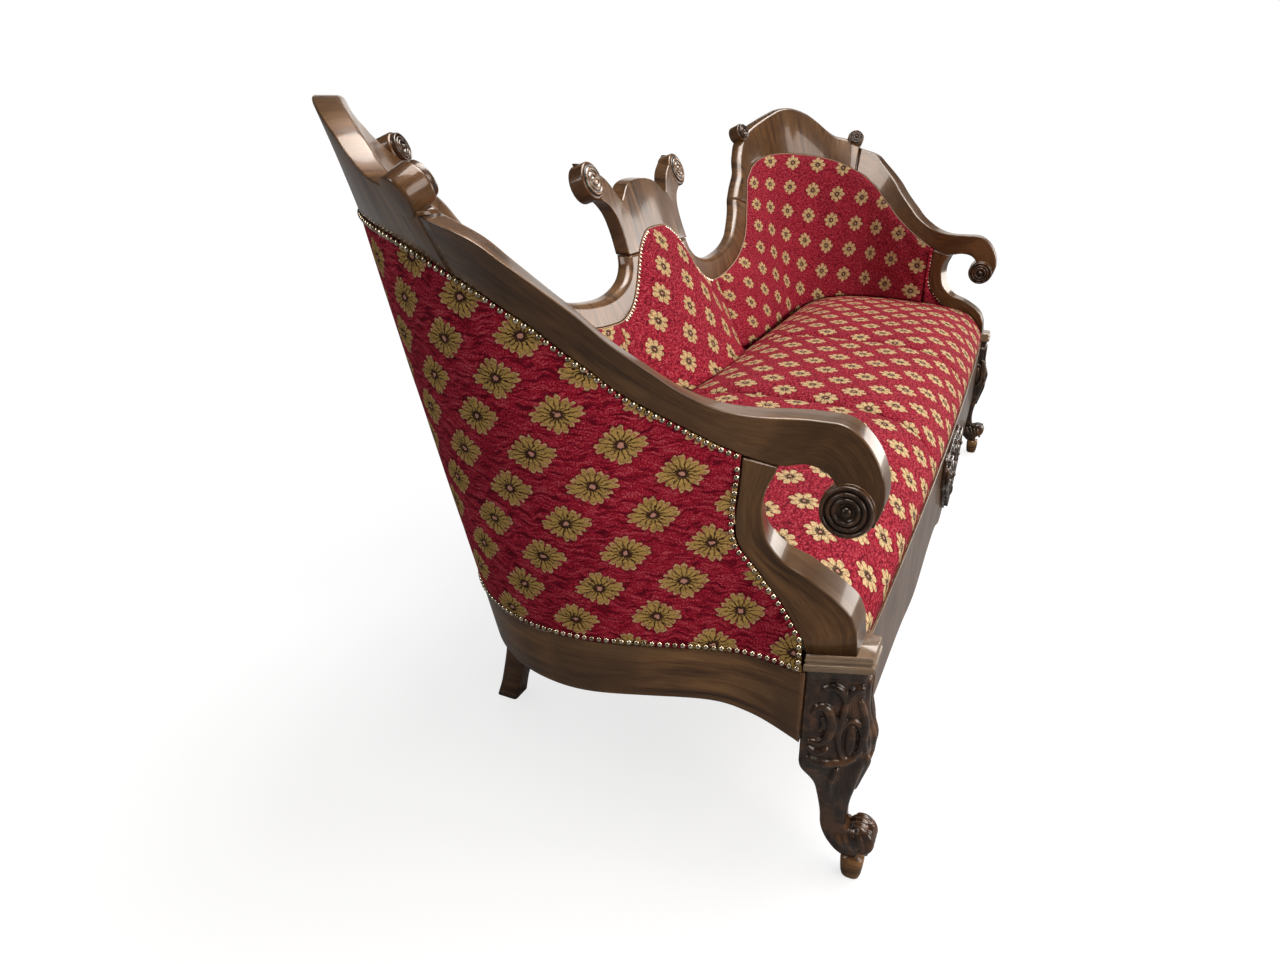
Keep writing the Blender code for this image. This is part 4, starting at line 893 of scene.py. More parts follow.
# Front legs and ornament: carved strokes laid on a plain body, then melted together
carving = {"voxel": 0.0013, "smooth": 1}
leg = {
    "rows": [(1.0, -0.50, 0.50, 0.50), (0.80, -0.51, 0.50, 0.50), (0.735, -0.66, 0.50, 0.50),
             (0.645, -0.68, 0.50, 0.50), (0.555, -0.60, 0.48, 0.48), (0.465, -0.51, 0.27, 0.38),
             (0.385, -0.44, 0.18, 0.30), (0.31, -0.42, 0.12, 0.27), (0.25, -0.48, 0.10, 0.27),
             (0.21, -0.66, 0.06, 0.26), (0.17, -0.72, -0.03, 0.26), (0.135, -0.70, -0.17, 0.26),
             (0.11, -0.66, -0.30, 0.22)],
    "shrink": 0.0044, "shrinkFrom": (0.99, 0.02), "powers": (0.12, 0.34), "powerFrom": (0.66, 0.22),
    "swell": 1.34, "away": 0.1, "frontShare": 0.86,
    # strokes on the outer and inner faces: millimetres from the back edge, height and radius
    "sides": [
        [(53, 328, 3.0), (50, 340, 4.4), (43, 350, 5.2), (34, 354, 4.6), (25, 351, 3.2)],
        [(53, 328, 3.0), (57, 341, 4.4), (63, 351, 5.0), (70, 354, 4.4), (76, 351, 3.0)],
        [(53, 334, 3.2), (52, 318, 4.2), (50, 300, 4.4), (48, 282, 3.8), (47, 266, 2.8)],
        [(14, 311, 2.8), (19, 320, 4.2), (28, 320, 5.2), (35, 310, 5.8), (38, 294, 6.0), (36, 278, 5.8),
         (30, 267, 5.4), (21, 262, 4.8), (13, 264, 3.4)],
        [(11, 254, 2.8), (18, 247, 4.4), (27, 246, 4.8), (34, 251, 3.6)],
        [(25, 303, 2.4), (28, 292, 3.4), (24, 282, 2.6)],
        [(13, 235, 3.4), (24, 229, 4.8), (36, 227, 5.2), (48, 229, 5.0), (60, 231, 4.4), (70, 238, 3.2)],
        [(75, 334, 3.0), (77, 314, 4.2), (78, 292, 4.6), (78, 268, 4.4), (75, 248, 3.4)],
        [(50, 216, 3.4), (46, 200, 4.0), (44, 182, 3.4), (45, 162, 2.4)],
    ],
    "cabochon": (63, 268, 8.0, 27, 6.0, 3.0),  # place, half width and height, bulge and rim
    # strokes on the front: millimetres from the middle, height and radius, each laid on both halves
    "fronts": [
        [(3, 246, 3.0), (6, 268, 4.6), (8, 290, 5.2), (9, 312, 5.2), (13, 334, 5.0), (17, 350, 4.6),
         (13, 362, 4.2), (7, 358, 3.0)],
        [(24, 250, 3.0), (26, 270, 4.2), (23, 292, 4.8), (24, 314, 4.6), (29, 332, 3.4)],
        [(20, 240, 3.4), (14, 228, 4.4), (8, 212, 4.4), (4, 192, 3.6), (2, 168, 2.6)],
    ],
    "toe": {"radius": 0.0165, "half": 0.018, "rise": 0.080, "back": 0.019, "share": 0.85, "lobes": 4, 
            "lobe": 0.0060, "slant": 0.005, "bulge": (-0.003, 0.001), "run": (0.006, -0.008),
            "tip": [(0.7, 0.9, 0.0075), (1.05, 1.3, 0.0030)],
            "heel": ((0, 0.010, -0.022), (0.014, 0.015, 0.012)),
            "fingers": [(0.024, 0.1), (0.014, 0.5), (0.004, 0.8), (-0.006, 0.9)], "finger": 0.0056},
}


strokeEnd = [(0, 1), (0.4, 0.85), (0.8, 0.4)]  # how a stroke's radius falls beyond its last point


def tubeMesh(points, radii, sides=10, steps=4):  # a round-ended stroke
    rows = smoothRows([(*point, radius) for point, radius in zip(points, radii)], steps)
    line, sizes = [Vector(row[:3]) for row in rows], [row[3] for row in rows]
    side = (line[1] - line[0]).orthogonal().normalized()
    rings = []
    last = len(line) - 1
    for k, (point, size) in enumerate(zip(line, sizes)):
        ahead = (line[min(k + 1, last)] - line[max(k - 1, 0)]).normalized()
        side = (side - ahead * side.dot(ahead)).normalized()
        up = ahead.cross(side)
        stops = strokeEnd if k == last else strokeEnd[:1]
        if k == 0:
            stops = [(-shift, share) for shift, share in strokeEnd[::-1]]
        for shift, share in stops:
            rings.append([point + ahead * (shift * size) + (side * cos(a) + up * sin(a)) * (size * share)
                          for a in angles(sides)])
    return loft(rings)


def strokeMesh(center, rows):  # rows of a place beside the center and a radius
    return tubeMesh([center + Vector(row[:3]) for row in rows], [row[3] for row in rows])


def ball(center, radii, turn=0.0):
    body = bmesh.new()
    bmesh.ops.create_uvsphere(body, u_segments=20, v_segments=12, radius=1.0)
    mesh = meshFrom(body)
    mesh.transform(Matrix.Translation(center) @ Matrix.Rotation(turn, 4, "Y") @ Matrix.Diagonal((*radii, 1)))
    return mesh


def melted(meshes):  # one carved body from overlapping strokes; loose crumbs are dropped
    piece = linked("melt", joined(*meshes))
    remesh = piece.modifiers.new("melt", "REMESH")
    remesh.mode, remesh.voxel_size = "VOXEL", carving["voxel"]
    soften = piece.modifiers.new("soften", "SMOOTH")
    soften.factor, soften.iterations = 0.5, carving["smooth"]
    bpy.context.view_layer.update()
    result = bpy.data.meshes.new_from_object(piece.evaluated_get(bpy.context.evaluated_depsgraph_get()))
    bpy.data.objects.remove(piece)
    body = bmesh.new()
    body.from_mesh(result)
    seen, groups = set(), []
    for start in body.verts:
        if start in seen:
            continue
        seen.add(start)
        group = [start]
        for vert in group:  # the group grows while it is walked
            fresh = {edge.other_vert(vert) for edge in vert.link_edges} - seen
            seen |= fresh
            group += fresh
        groups.append(group)
    groups.sort(key=len)
    bmesh.ops.delete(body, geom=[vert for group in groups[:-1] for vert in group], context="VERTS")
    body.to_mesh(result)
    body.free()
    return result


def legBody():
    low, high = block["turnLevels"]
    rings = []
    for share, front, back, half in smoothRows(leg["rows"], 5):
        z = share * plan["legTop"] - (wood["gap"] if share == 1 else 0)
        x = block["x"] - block["inward"] * (1 - ease(share / block["inwardShare"]))
        shrink = leg["shrink"] * ease((leg["shrinkFrom"][0] - share) / leg["shrinkFrom"][1])
        halfX = half * block["width"] - shrink
        lowY, highY = block["y"] + front * block["depth"] + shrink, block["y"] + back * block["depth"]
        power = mixed(*leg["powers"], ease((leg["powerFrom"][0] - share) / leg["powerFrom"][1]))
        ring = []
        for a in angles(36, 0.5):
            y = (lowY + highY) / 2 + (highY - lowY) / 2 * cornered(sin(a), power)
            turn = ease((share - low) / (high - low)) * blockTurn(y, z) * (cos(a) > 0)
            ring.append(Vector((x + turn + halfX * cornered(cos(a), power), y, z)))
        rings.append(ring)
    return loft(rings)


def makeFrontLegs():
    body = legBody()
    tree = BVHTree.FromPolygons([v.co for v in body.vertices], [p.vertices[:] for p in body.polygons])
    parts = [body]

    def lay(stroke, place, direction):
        points, radii = [], []
        for across, z, radius in stroke:
            point = tree.ray_cast(place(across / 1000, z / 1000), direction)[0]
            if point:
                points.append(point)
                radii.append(radius / 1000 * leg["swell"])
        if len(points) > 2:
            parts.append(tubeMesh(points, radii))

    frontTurn = blockTurn(block["lowY"], plan["legTop"]) / 2
    for side in (1, -1):
        inwards = Vector((-side, 0, 0))

        def beside(d, z):
            return Vector((block["x"] + side * leg["away"], block["highY"] - d, z))

        def before(d, z):
            x = block["x"] + frontTurn + side * d * leg["frontShare"]
            return Vector((x, block["lowY"] - leg["away"], z))

        for stroke in leg["sides"]:
            lay(stroke, beside, inwards)
        for stroke in leg["fronts"]:
            lay(stroke, before, Vector((0, 1, 0)))
        d, z, halfY, halfZ, bulge, rim = leg["cabochon"]
        spot = tree.ray_cast(beside(d / 1000, z / 1000), inwards)[0]
        parts.append(ball(spot, [size / 1000 for size in (bulge, halfY, halfZ)]))
        around = [*angles(14), 2 * pi]
        lay([(d + (halfY + 2 * rim) * cos(a), z + (halfZ + 2 * rim) * sin(a), rim) for a in around],
            beside, inwards)
    pair("front_leg_carved", melted(parts + toeParts()), carved, "carved_wood", "front_leg")


def toeParts():
    toe = leg["toe"]
    radius, half = toe["radius"], toe["half"]
    center = Vector((block["x"] - block["inward"], block["y"] - toe["share"] * block["depth"] + toe["back"],
                     toe["rise"]))
    parts = [turned([(0, half), (radius, half), (radius, -half), (0, -half)], center, Vector((1, 0, 0)))]
    for k in range(toe["lobes"]):  # ridges that wrap the scroll's front, aslant
        shift = half * (2 * (k + 0.5) / toe["lobes"] - 1)
        rows = []
        for t in [i / 8 for i in range(9)]:
            a = radians(mixed(70, 250, t))
            rows.append((shift + toe["slant"] * (2 * t - 1), cos(a) * radius, sin(a) * radius,
                         toe["lobe"] * (0.75 + 0.5 * sin(pi * t))))
        parts.append(strokeMesh(center, rows))
    for side in (1, -1):  # fingers that slant down the scroll's sides
        for forward, lift in toe["fingers"]:
            rows = [(side * (half + mixed(*toe["bulge"], sin(pi * t))), forward + mixed(*toe["run"], t),
                     radius * mixed(0.3 + 0.6 * lift, -1.15, t),
                     toe["finger"] * (0.62 + 0.45 * sin(pi * min(1.0, t + 0.15))))
                    for t in [i / 6 for i in range(7)]]
            parts.append(strokeMesh(center, rows))
    tip = [(0, -forward * radius, up * radius, size) for forward, up, size in toe["tip"]]
    heel, radii = toe["heel"]
    return parts + [strokeMesh(center, tip), ball(center + Vector(heel), radii)]


peg = {"width": 0.034, "share": -0.54, "power": 0.7,
       "levels": ((0.0, 0.66), (0.06, 0.78), (0.2, 0.88), (0.45, 0.95), (0.75, 1.0), (1.0, 0.98))}


def makeFeet():
    x, y = block["x"] - block["inward"], block["y"] + peg["share"] * block["depth"]
    top = leg["rows"][-1][0] * plan["legTop"] - wood["gap"]
    rings = []
    for level, share in peg["levels"]:
        half = share * peg["width"] / 2
        rings.append([Vector((x + half * cornered(cos(a), peg["power"]),
                              y + half * cornered(sin(a), peg["power"]), level * top))
                      for a in angles(28, 0.5)])
    pair("foot_peg", loft(rings, swap=True), inWalnut(1.5, tint=1.3, rough=0.4), "beech", "foot_block")


# half of the ornament: shares of its length from the middle, of its height from the top, and millimetres
ornament = {
    "length": 0.27, "height": 0.180, "thick": 0.020, "drop": 0.004, "plate": 0.006, "bulge": 0.0075,
    "plateShares": (0.97, 0.45), "strokeShare": 0.35, "leafShare": 0.4, "lean": 0.4,
    "edge": [(0.50, 0.14), (0.45, 0.02), (0.30, 0.04), (0.15, 0.01), (0.0, 0.0)],
    "under": [(0.50, 0.30), (0.43, 0.46), (0.32, 0.54), (0.20, 0.76), (0.10, 0.88), (0.0, 1.0)],
    "strokes": [
        [(0.02, 0.92, 3.0), (0.05, 0.78, 4.2), (0.09, 0.62, 4.8), (0.15, 0.50, 5.0), (0.22, 0.46, 4.6),
         (0.26, 0.54, 4.0), (0.22, 0.60, 3.0)],
        [(0.10, 0.84, 3.0), (0.16, 0.72, 4.4), (0.24, 0.62, 4.8), (0.32, 0.50, 5.2), (0.40, 0.42, 5.0),
         (0.465, 0.32, 4.6), (0.47, 0.20, 4.4), (0.42, 0.16, 3.8), (0.38, 0.22, 2.8)],
        [(0.06, 0.42, 3.4), (0.11, 0.28, 4.8), (0.19, 0.22, 5.2), (0.27, 0.26, 4.8), (0.31, 0.36, 4.2),
         (0.27, 0.41, 3.0)],
        [(0.03, 0.50, 3.2), (0.05, 0.34, 4.4), (0.05, 0.18, 4.8), (0.09, 0.08, 4.6), (0.14, 0.12, 3.4)],
        [(0.20, 0.13, 3.2), (0.28, 0.10, 4.4), (0.36, 0.10, 4.4), (0.43, 0.08, 3.6)],
        [(0.32, 0.24, 3.0), (0.36, 0.34, 4.0), (0.34, 0.44, 3.4)],
        [(0.13, 0.62, 3.0), (0.18, 0.62, 3.8), (0.20, 0.70, 3.2)],
    ],
    "leaves": [(0.0, 0.16, 8, 13), (0.0, 0.70, 7, 16), (0.40, 0.27, 6, 8), (0.24, 0.34, 5, 7),
               (0.10, 0.55, 5, 8)],
}


def makeOrnament():
    top = plan["railTop"] - ornament["drop"]
    face = apronFront(0) - wood["gap"]
    half = [tuple(p) for p in smoothRows(ornament["edge"], 4)[::-1] + smoothRows(ornament["under"], 5)]
    loop = half + [(-x, drop) for x, drop in half[-2:0:-1]]
    shrink, middle = ornament["plateShares"]
    points = [Vector((x * shrink * ornament["length"], face,
                      top - mixed(drop, middle, 0.04) * ornament["height"])) for x, drop in loop]
    count = len(points)
    shift = Vector((0, -ornament["plate"], 0))
    faces = [list(range(count)), list(range(count, 2 * count))[::-1]]
    faces += [[(k + 1) % count, k, k + count, (k + 1) % count + count] for k in range(count)]
    parts = [meshOf(points + [p + shift for p in points], faces)]

    def spot(x, drop, share):
        deep = ornament["plate"] + (ornament["thick"] - ornament["plate"]) * share
        return Vector((x * ornament["length"], face - deep, top - drop * ornament["height"]))

    for side in (1, -1):
        for stroke in ornament["strokes"]:
            parts.append(tubeMesh([spot(side * x, drop, ornament["strokeShare"]) for x, drop, _ in stroke],
                                  [r / 1000 for _, _, r in stroke]))
        for x, drop, wide, high in ornament["leaves"]:
            radii = (wide / 1000, ornament["bulge"], high / 1000)
            lean = side * ornament["lean"] * (x > 0)
            parts.append(ball(spot(side * x, drop, ornament["leafShare"]), radii, lean))
    mesh = melted(parts)
    for vert in mesh.vertices:  # nothing behind the apron's face or beyond the carving's depth
        vert.co.y = min(face, max(vert.co.y, face - ornament["thick"]))
    addPiece("ornament_carved", mesh, lambda name: carved(name, 0.4, 0.2), "carved_wood", "front_ornament")


makeRails()
makeCaps()
makeRearLegs()
makeFrontLegs()
makeFeet()
makeOrnament()
print("rails and legs made")


# Upholstery: every face is a grid, and its map is in metres of cloth, so the pattern keeps its size
cloth = {"gap": 0.0018, "back": 0.005, "post": 0.024, "beside": 0.0104, "foot": plan["railTop"] + 0.0018}
pads = {
    "seam": 0.27, "edgeRise": 0.058, "crown": 0.072, "frontRadius": 0.062,
    "backDepth": 0.062, "sideDepth": 0.052, "frontInset": 0.003, "lip": 0.006, "turn": 1.45, "sideFall": 0.6,
    "ease": (0.38, 0.68), "sideX": plan["frontX"][0] - wood["thick"] * 1.42 - cloth["beside"],
    "columns": 44, "rows": 56, "rowPower": 1.7, "seamDip": 0.0075, "seamWidth": 0.010,
    "start": (0.46, 0.412), "crease": 2.62, "swell": 0.040, "hollow": 0.55, "edge": 0.35, "edgeWidth": 0.1,
    "centerSwell": 0.095, "centerFall": 0.8, "centerSide": 0.75, "centerTurn": 2.5, "proud": 0.0015,
    "clearance": 0.0012, "backPlace": cloth["back"] + 2 * cloth["gap"] + cloth["post"] + 2 * wood["gap"],
    "drawStart": 0.60, "drawEnd": 1.087, "drawTop": 0.875, "levels": 34, "backColumns": 120,
    "centerColumns": 44, "footShares": [0.12, 0.3, 0.5, 0.7, 0.88, 1.0],
    "rippleFade": 0.05, "dipFade": 0.03, "closing": 0.10, "opening": 0.40,
    "ripples": (0.0012, 11.0), "backRipples": (0.0010, 9.0), "stuffed": {"seat": 0.004, "back": 0.005},
}
cover = {"start": 0.408, "last": 2.0, "foot": [(0.0, 0.174), (0.038, 0.180)], "join": 0.002, "thick": 0.0046,
         "sink": 0.0012, "puff": 0.0022, "ripple": 0.0006, "rimShare": 0.02, "columns": 110,
         "backColumns": 64, "backLevels": 40}
lattices = {  # steps between the flowers, a flower's place, own scale and turn, weave and grit, for each face
    "outside": (((-0.077, -0.040), (0.033, -0.055)), (0.359, 0.615), (0.93, 1.20), radians(-12),
                (38.0, 215.0), 480.0, "rosette", 0.0),
    "seat": (((0.053, -0.046), (0.066, 0.045)), (-0.075, -0.213), (1.16, 1.16), 0.0, (120.0, 210.0), 300.0,
             "star", 0.75),
    "inside": (((0.098, 0.009), (0.008, -0.082)), (0.600, 0.714), (1.05, 1.22), 0.0, (120.0, 210.0), 300.0,
               "star", 0.55),
    "middle": (((0.080, -0.041), (-0.052, -0.052)), (-0.043, 0.620), (1.12, 1.25), 0.0, (120.0, 210.0), 300.0,
               "star", 0.55),
}


def crimson(kind, seed):
    return lambda name: fabric(name, *lattices[kind], seed=seed + name.count("left"))


def grids(columns, strip):  # the front, back and map of a skin, strip by strip
    return [list(rows) for rows in zip(*[strip(column) for column in columns])]


def skin(front, back, places):  # a closed solid between two grids; places is the map of both
    rows, columns = len(front), len(front[0])
    count = rows * columns
    points = [point for grid in (front, back) for row in grid for point in row]
    flat = [Vector(place) for row in places for place in row]
    faces = []
    for row in range(rows - 1):
        for first in range(row * columns, (row + 1) * columns - 1):
            face = [first, first + 1, first + 1 + columns, first + columns]
            faces += [face, [count + k for k in face[::-1]]]
    rim = [*range(columns), *range(2 * columns - 1, count, columns),
           *range(count - 2, count - columns - 1, -1), *range(count - 2 * columns, 0, -columns)]
    inner = len(faces)
    faces += [[b, a, count + a, count + b] for a, b in zip(rim, rim[1:] + rim[:1])]

    def beyond(k):  # the cloth goes on over the rim
        row, column = divmod(k, columns)
        within = flat[min(max(row, 1), rows - 2) * columns + min(max(column, 1), columns - 2)]
        return flat[k] + (flat[k] - within).normalized() * (points[k] - points[count + k]).length

    spots = [[tuple(flat[k % count]) for k in face] for face in faces[:inner]]
    spots += [[tuple(flat[k] if k < count else beyond(k - count)) for k in face] for face in faces[inner:]]
    return meshOf(points, faces, spots)


def ripple(point, size=7.0):
    return noise.noise(point * size) + 0.5 * noise.noise(point * size * 2.3)


def coverPlaces(s, t, u, topU):  # the outer and inner place of a cover, sunk at its rim
    z = mixed(plan["railTop"] + wood["gap"], nailHeight(topU) - cloth["gap"], t)
    inside = min(1.0, min(s, 1 - s, t, 1 - t) / cover["rimShare"]) ** 0.5
    puff = cover["puff"] * (sin(pi * s) * sin(pi * t)) ** 0.5
    depth = cover["sink"] * (1 - inside) - puff * inside - cover["ripple"] * ripple(shell(u, z, 0)) * inside
    return shell(u, z, depth), shell(u, z, cover["thick"]), z


def makeCovers():
    stile = smoothRows(outline["stile"], 4)[::-1]
    edge = cover["foot"] + [(row[3], row[2] + 2 * cover["join"]) for row in stile]
    edge = edge[:1] + [tuple(Vector(edge[0]).lerp(Vector(edge[1]), k / 3)) for k in (1, 2)] + edge[1:]
    foot = cover["foot"][0][1]

    def strip(column):
        s = column / cover["columns"]
        topU, lowU = mixed(cover["start"], cover["last"], s), mixed(foot, cover["last"], s)
        rows = []
        for share, edgeU in edge:
            t = share / edge[-1][0]
            u = mixed(lowU, topU, t) + (edgeU + cover["join"] - mixed(foot, cover["start"], t)) * (1 - s) ** 3
            outer, inner, z = coverPlaces(s, t, u, topU)
            rows.append((outer, inner, (arcAt(u, z, 16), z)))
        return zip(*rows)

    pair("outside_fabric", skin(*grids(range(cover["columns"] + 1), strip)), crimson("outside", 0),
         "crimson_fabric", "outside_cover")

    last = cover["backColumns"]

    def backStrip(column):
        side, shift = (1 if column > 0 else -1), (wood["gap"] if abs(column) == last else 0)
        u = mixed(3, cover["last"], abs(column) / last)
        rows = []
        for level in range(cover["backLevels"] + 1):
            *places, z = coverPlaces((column / last + 1) / 2, level / cover["backLevels"], u, u)
            middle = arcAt(3, z, 24)
            rows.append((*[acrossMiddle(place, side, shift) for place in places],
                         (middle - side * (middle - arcAt(u, z, 24)), z)))
        return zip(*rows)

    addPiece("outside_fabric_back", skin(*grids(range(-last, last + 1), backStrip)), crimson("outside", 2),
             "crimson_fabric", "outside_cover_back")


def seatBoundary(u, z):
    low, high = pads["ease"]
    place = shell(max(u, 0.0), z, mixed(pads["sideDepth"], pads["backDepth"], ease(u - 1)))
    return Vector((mixed(pads["sideX"], place.x, ease((u - low) / (high - low))), place.y))


def aheadOf(place):  # how far a place lies behind the apron's front
    return place.y - apronFront(min(abs(place.x), pads["sideX"]))


def seatTop(place):
    ahead = max(0.0, aheadOf(place))
    full = shell(3, plan["railTop"], rails["thick"]).y - (pads["backDepth"] - rails["thick"]) - apronFront(0)
    along, across = min(1.0, ahead / full), min(1.0, abs(place.x) / plan["sideX"][0])
    front = (1 - (1 - min(1.0, ahead / pads["frontRadius"])) ** 2) ** 0.5
    hump = (1 - (2 * along - 1) ** 4) * (1 - pads["sideFall"] * across ** 5)
    return cloth["foot"] + pads["lip"] + (pads["edgeRise"] - pads["lip"] + pads["crown"] * hump) * front


def seatDip(place, front):  # the sewn seams pull the seat down beside them
    off = abs(abs(place.x) - pads["seam"])
    return pads["seamDip"] * 2.718 ** (-(off / pads["seamWidth"]) ** 1.2) * min(1.0, max(0.2, front))


def seatMesh(left, right, front, back):
    def strip(column):
        s = column / pads["columns"]
        line = []
        for row in range(pads["rows"] + 1):
            t = (row / pads["rows"]) ** pads["rowPower"]
            corners = left(0).lerp(right(0), s).lerp(left(1).lerp(right(1), s), t)
            line.append(left(t).lerp(right(t), s) + front(s).lerp(back(s), t) - corners)
        heights = [seatTop(place) for place in line]
        size, scale = pads["ripples"]
        top = []
        for place, z in zip(line, heights):
            ahead = aheadOf(place)
            lift = size * ripple(Vector((*place, 0)), scale) * min(1.0, ahead / pads["rippleFade"])
            top.append(Vector((*place, z - seatDip(place, ahead / pads["dipFade"]) + lift)))
        lengths = [0.0]
        for a, b in zip(zip(line, heights), zip(line[1:], heights[1:])):
            lengths.append(lengths[-1] + sqrt((b[0] - a[0]).length ** 2 + (b[1] - a[1]) ** 2))
        key = next(k for k, place in enumerate(line) if aheadOf(place) > pads["frontRadius"])
        return top, [Vector((*place, cloth["foot"])) for place in line], [
            (place.x, line[key].y + length - lengths[key]) for place, length in zip(line, lengths)]

    return skin(*grids(range(pads["columns"] + 1), strip))


def makeSeat():
    backY = seatBoundary(uAt(pads["seam"], cloth["foot"]), cloth["foot"]).y

    def frontEdge(low, high):
        return lambda s: Vector((mixed(low, high, s), apronFront(mixed(low, high, s)) + pads["frontInset"]))

    def seam(x, front):
        return lambda t: Vector((x, mixed(front.y, backY, t)))

    def outerSide(t):
        place = seatBoundary(pads["turn"] * t, cloth["foot"])
        return Vector((place.x, max(place.y, apronFront(pads["sideX"]) + pads["frontInset"])))

    inner, outer = pads["seam"] - wood["gap"], pads["seam"] + wood["gap"]
    front = frontEdge(-inner, inner)
    mesh = seatMesh(seam(-inner, front(0)), seam(inner, front(1)), front,
                    lambda s: Vector((inner * (2 * s - 1), backY)))
    addPiece("seat_cushion_center", mesh, crimson("seat", 4), "crimson_fabric", "seat_pad_center")
    front = frontEdge(outer, pads["sideX"])
    mesh = seatMesh(seam(outer, front(0)), outerSide, front,
                    lambda s: seatBoundary(mixed(uAt(outer, cloth["foot"]), pads["turn"], s), cloth["foot"]))
    pair("seat_cushion", mesh, crimson("seat", 5), "crimson_fabric", "seat_pad")
    for corner in bpy.data.objects["seat_cushion_left"].data.uv_layers[0].data:
        corner.uv.x = -corner.uv.x
    stuffed("seat")


def padRows(lowU, topU, levels):
    backPlace, topZ = pads["backPlace"], nailHeight(topU) - cloth["gap"]
    front = []
    for share in pads["footShares"]:
        place = shell(lowU, cloth["foot"] + pads["edgeRise"], mixed(backPlace, levels[0][2], share))
        front.append(Vector((place.x, place.y, seatTop(place) + pads["clearance"])))
    foot = front[-1].z
    front += [shell(u, mixed(foot, topZ, t), depth) for u, t, depth in levels[1:]]
    shares = [k / (len(front) - 1) for k in range(len(front))]
    back = [shell(mixed(lowU, levels[-1][0], share), mixed(front[0].z, topZ, share), backPlace)
            for share in shares]
    return front, back


def drawn(along, z):  # the cloth is drawn towards the crease, which closes its rows and opens its columns
    reach, top = pads["drawEnd"] - pads["drawStart"], pads["drawTop"]
    pull = max(0.0, along - pads["drawStart"]) / reach
    return along - pads["closing"] * pull ** 2 * reach, top - (top - z) * (1 + pads["opening"] * pull ** 1.4)


def makeBackPads():
    crease, (foot, start) = pads["crease"], pads["start"]
    shares = [k / pads["levels"] for k in range(pads["levels"] + 1)]

    def strip(column):
        s = column / pads["backColumns"]
        topU, lowU = mixed(start, crease, s), mixed(foot, crease, s)
        hollow = mixed(pads["hollow"], 1, (2 * s - 1) ** 2)
        edge = mixed(pads["edge"], 1, min(1.0, min(s, 1 - s) / pads["edgeWidth"]) ** 0.5)
        size, scale = pads["backRipples"]
        levels = []
        for t in shares:
            u = mixed(lowU, topU, t)
            swell = pads["swell"] * hollow * edge * (1 - t) ** 0.5
            swell += size * ripple(shell(u, 0.4 + t * 0.5, 0), scale) * min(1.0, (1 - t) * 9)
            levels.append((u, t, woodThick(topU) + pads["proud"] + swell))
        front, back = padRows(lowU, topU, levels)
        us = [lowU] * len(pads["footShares"]) + [level[0] for level in levels[1:]]
        return front, back, [drawn(arcAt(u, point.z, 24), point.z) for u, point in zip(us, front)]

    pair("back_cushion", skin(*grids(range(pads["backColumns"] + 1), strip)), crimson("inside", 7),
         "crimson_fabric", "back_pad")

    last = pads["centerColumns"]

    def centerStrip(column):
        side, s = (1 if column > 0 else -1), abs(column) / last
        u = mixed(3, crease, s)
        swell = pads["centerSwell"] * (1 - pads["centerSide"] * s ** pads["centerTurn"])
        levels = [(u, t, woodThick(u) + pads["proud"] + swell * (1 - t) ** pads["centerFall"])
                  for t in shares]
        front, back = [[acrossMiddle(point, side, wood["gap"] if s == 1 else 0) for point in row]
                       for row in padRows(u, u, levels)]
        return front, back, [(point.x, point.z) for point in front]

    addPiece("back_cushion_center", skin(*grids(range(-last, last + 1), centerStrip)), crimson("middle", 9),
             "crimson_fabric", "back_pad_center")
    stuffed("back")


stuffing = {"frames": 18, "quality": 5, "pressure": 4.0, "mass": 0.35, "stretch": 22.0, "bend": 6.0}


def stuffed(kind):  # the front of a pad swells like stretched cloth; its rim and back hold still
    for side in ("center", "left", "right"):
        piece = bpy.data.objects[f"{kind}_cushion_{side}"]
        swellCloth(piece, pads["stuffed"][kind])


def swellCloth(piece, most):
    mesh = piece.data
    count = len(mesh.vertices) // 2
    rim = set()
    for face in mesh.polygons:
        if min(face.vertices) < count <= max(face.vertices):
            rim.update(face.vertices)
    held = [k for k in range(2 * count) if k >= count or k in rim]
    piece.vertex_groups.new(name="held").add(held, 1.0, "REPLACE")
    modifier = piece.modifiers.new("stuffing", "CLOTH")
    settings = modifier.settings
    settings.quality, settings.mass = stuffing["quality"], stuffing["mass"]
    settings.tension_stiffness = settings.compression_stiffness = stuffing["stretch"]
    settings.shear_stiffness, settings.bending_stiffness = stuffing["stretch"] / 2, stuffing["bend"]
    settings.use_pressure, settings.uniform_pressure_force = True, stuffing["pressure"]
    settings.vertex_group_mass = "held"
    settings.effector_weights.gravity = 0.0
    modifier.point_cache.frame_end = stuffing["frames"]
    for step in range(1, stuffing["frames"] + 1):
        bpy.context.scene.frame_set(step)
    seen = piece.evaluated_get(bpy.context.evaluated_depsgraph_get())
    moves = [new.co - old.co for old, new in zip(mesh.vertices, seen.data.vertices)]
    piece.modifiers.remove(modifier)
    bpy.context.scene.frame_set(1)
    for vert, move in zip(mesh.vertices, moves):
        if move.length > 0:
            vert.co += move * (most / (most + move.length))
    print(piece.name, "moved", round(max(move.length for move in moves), 4))


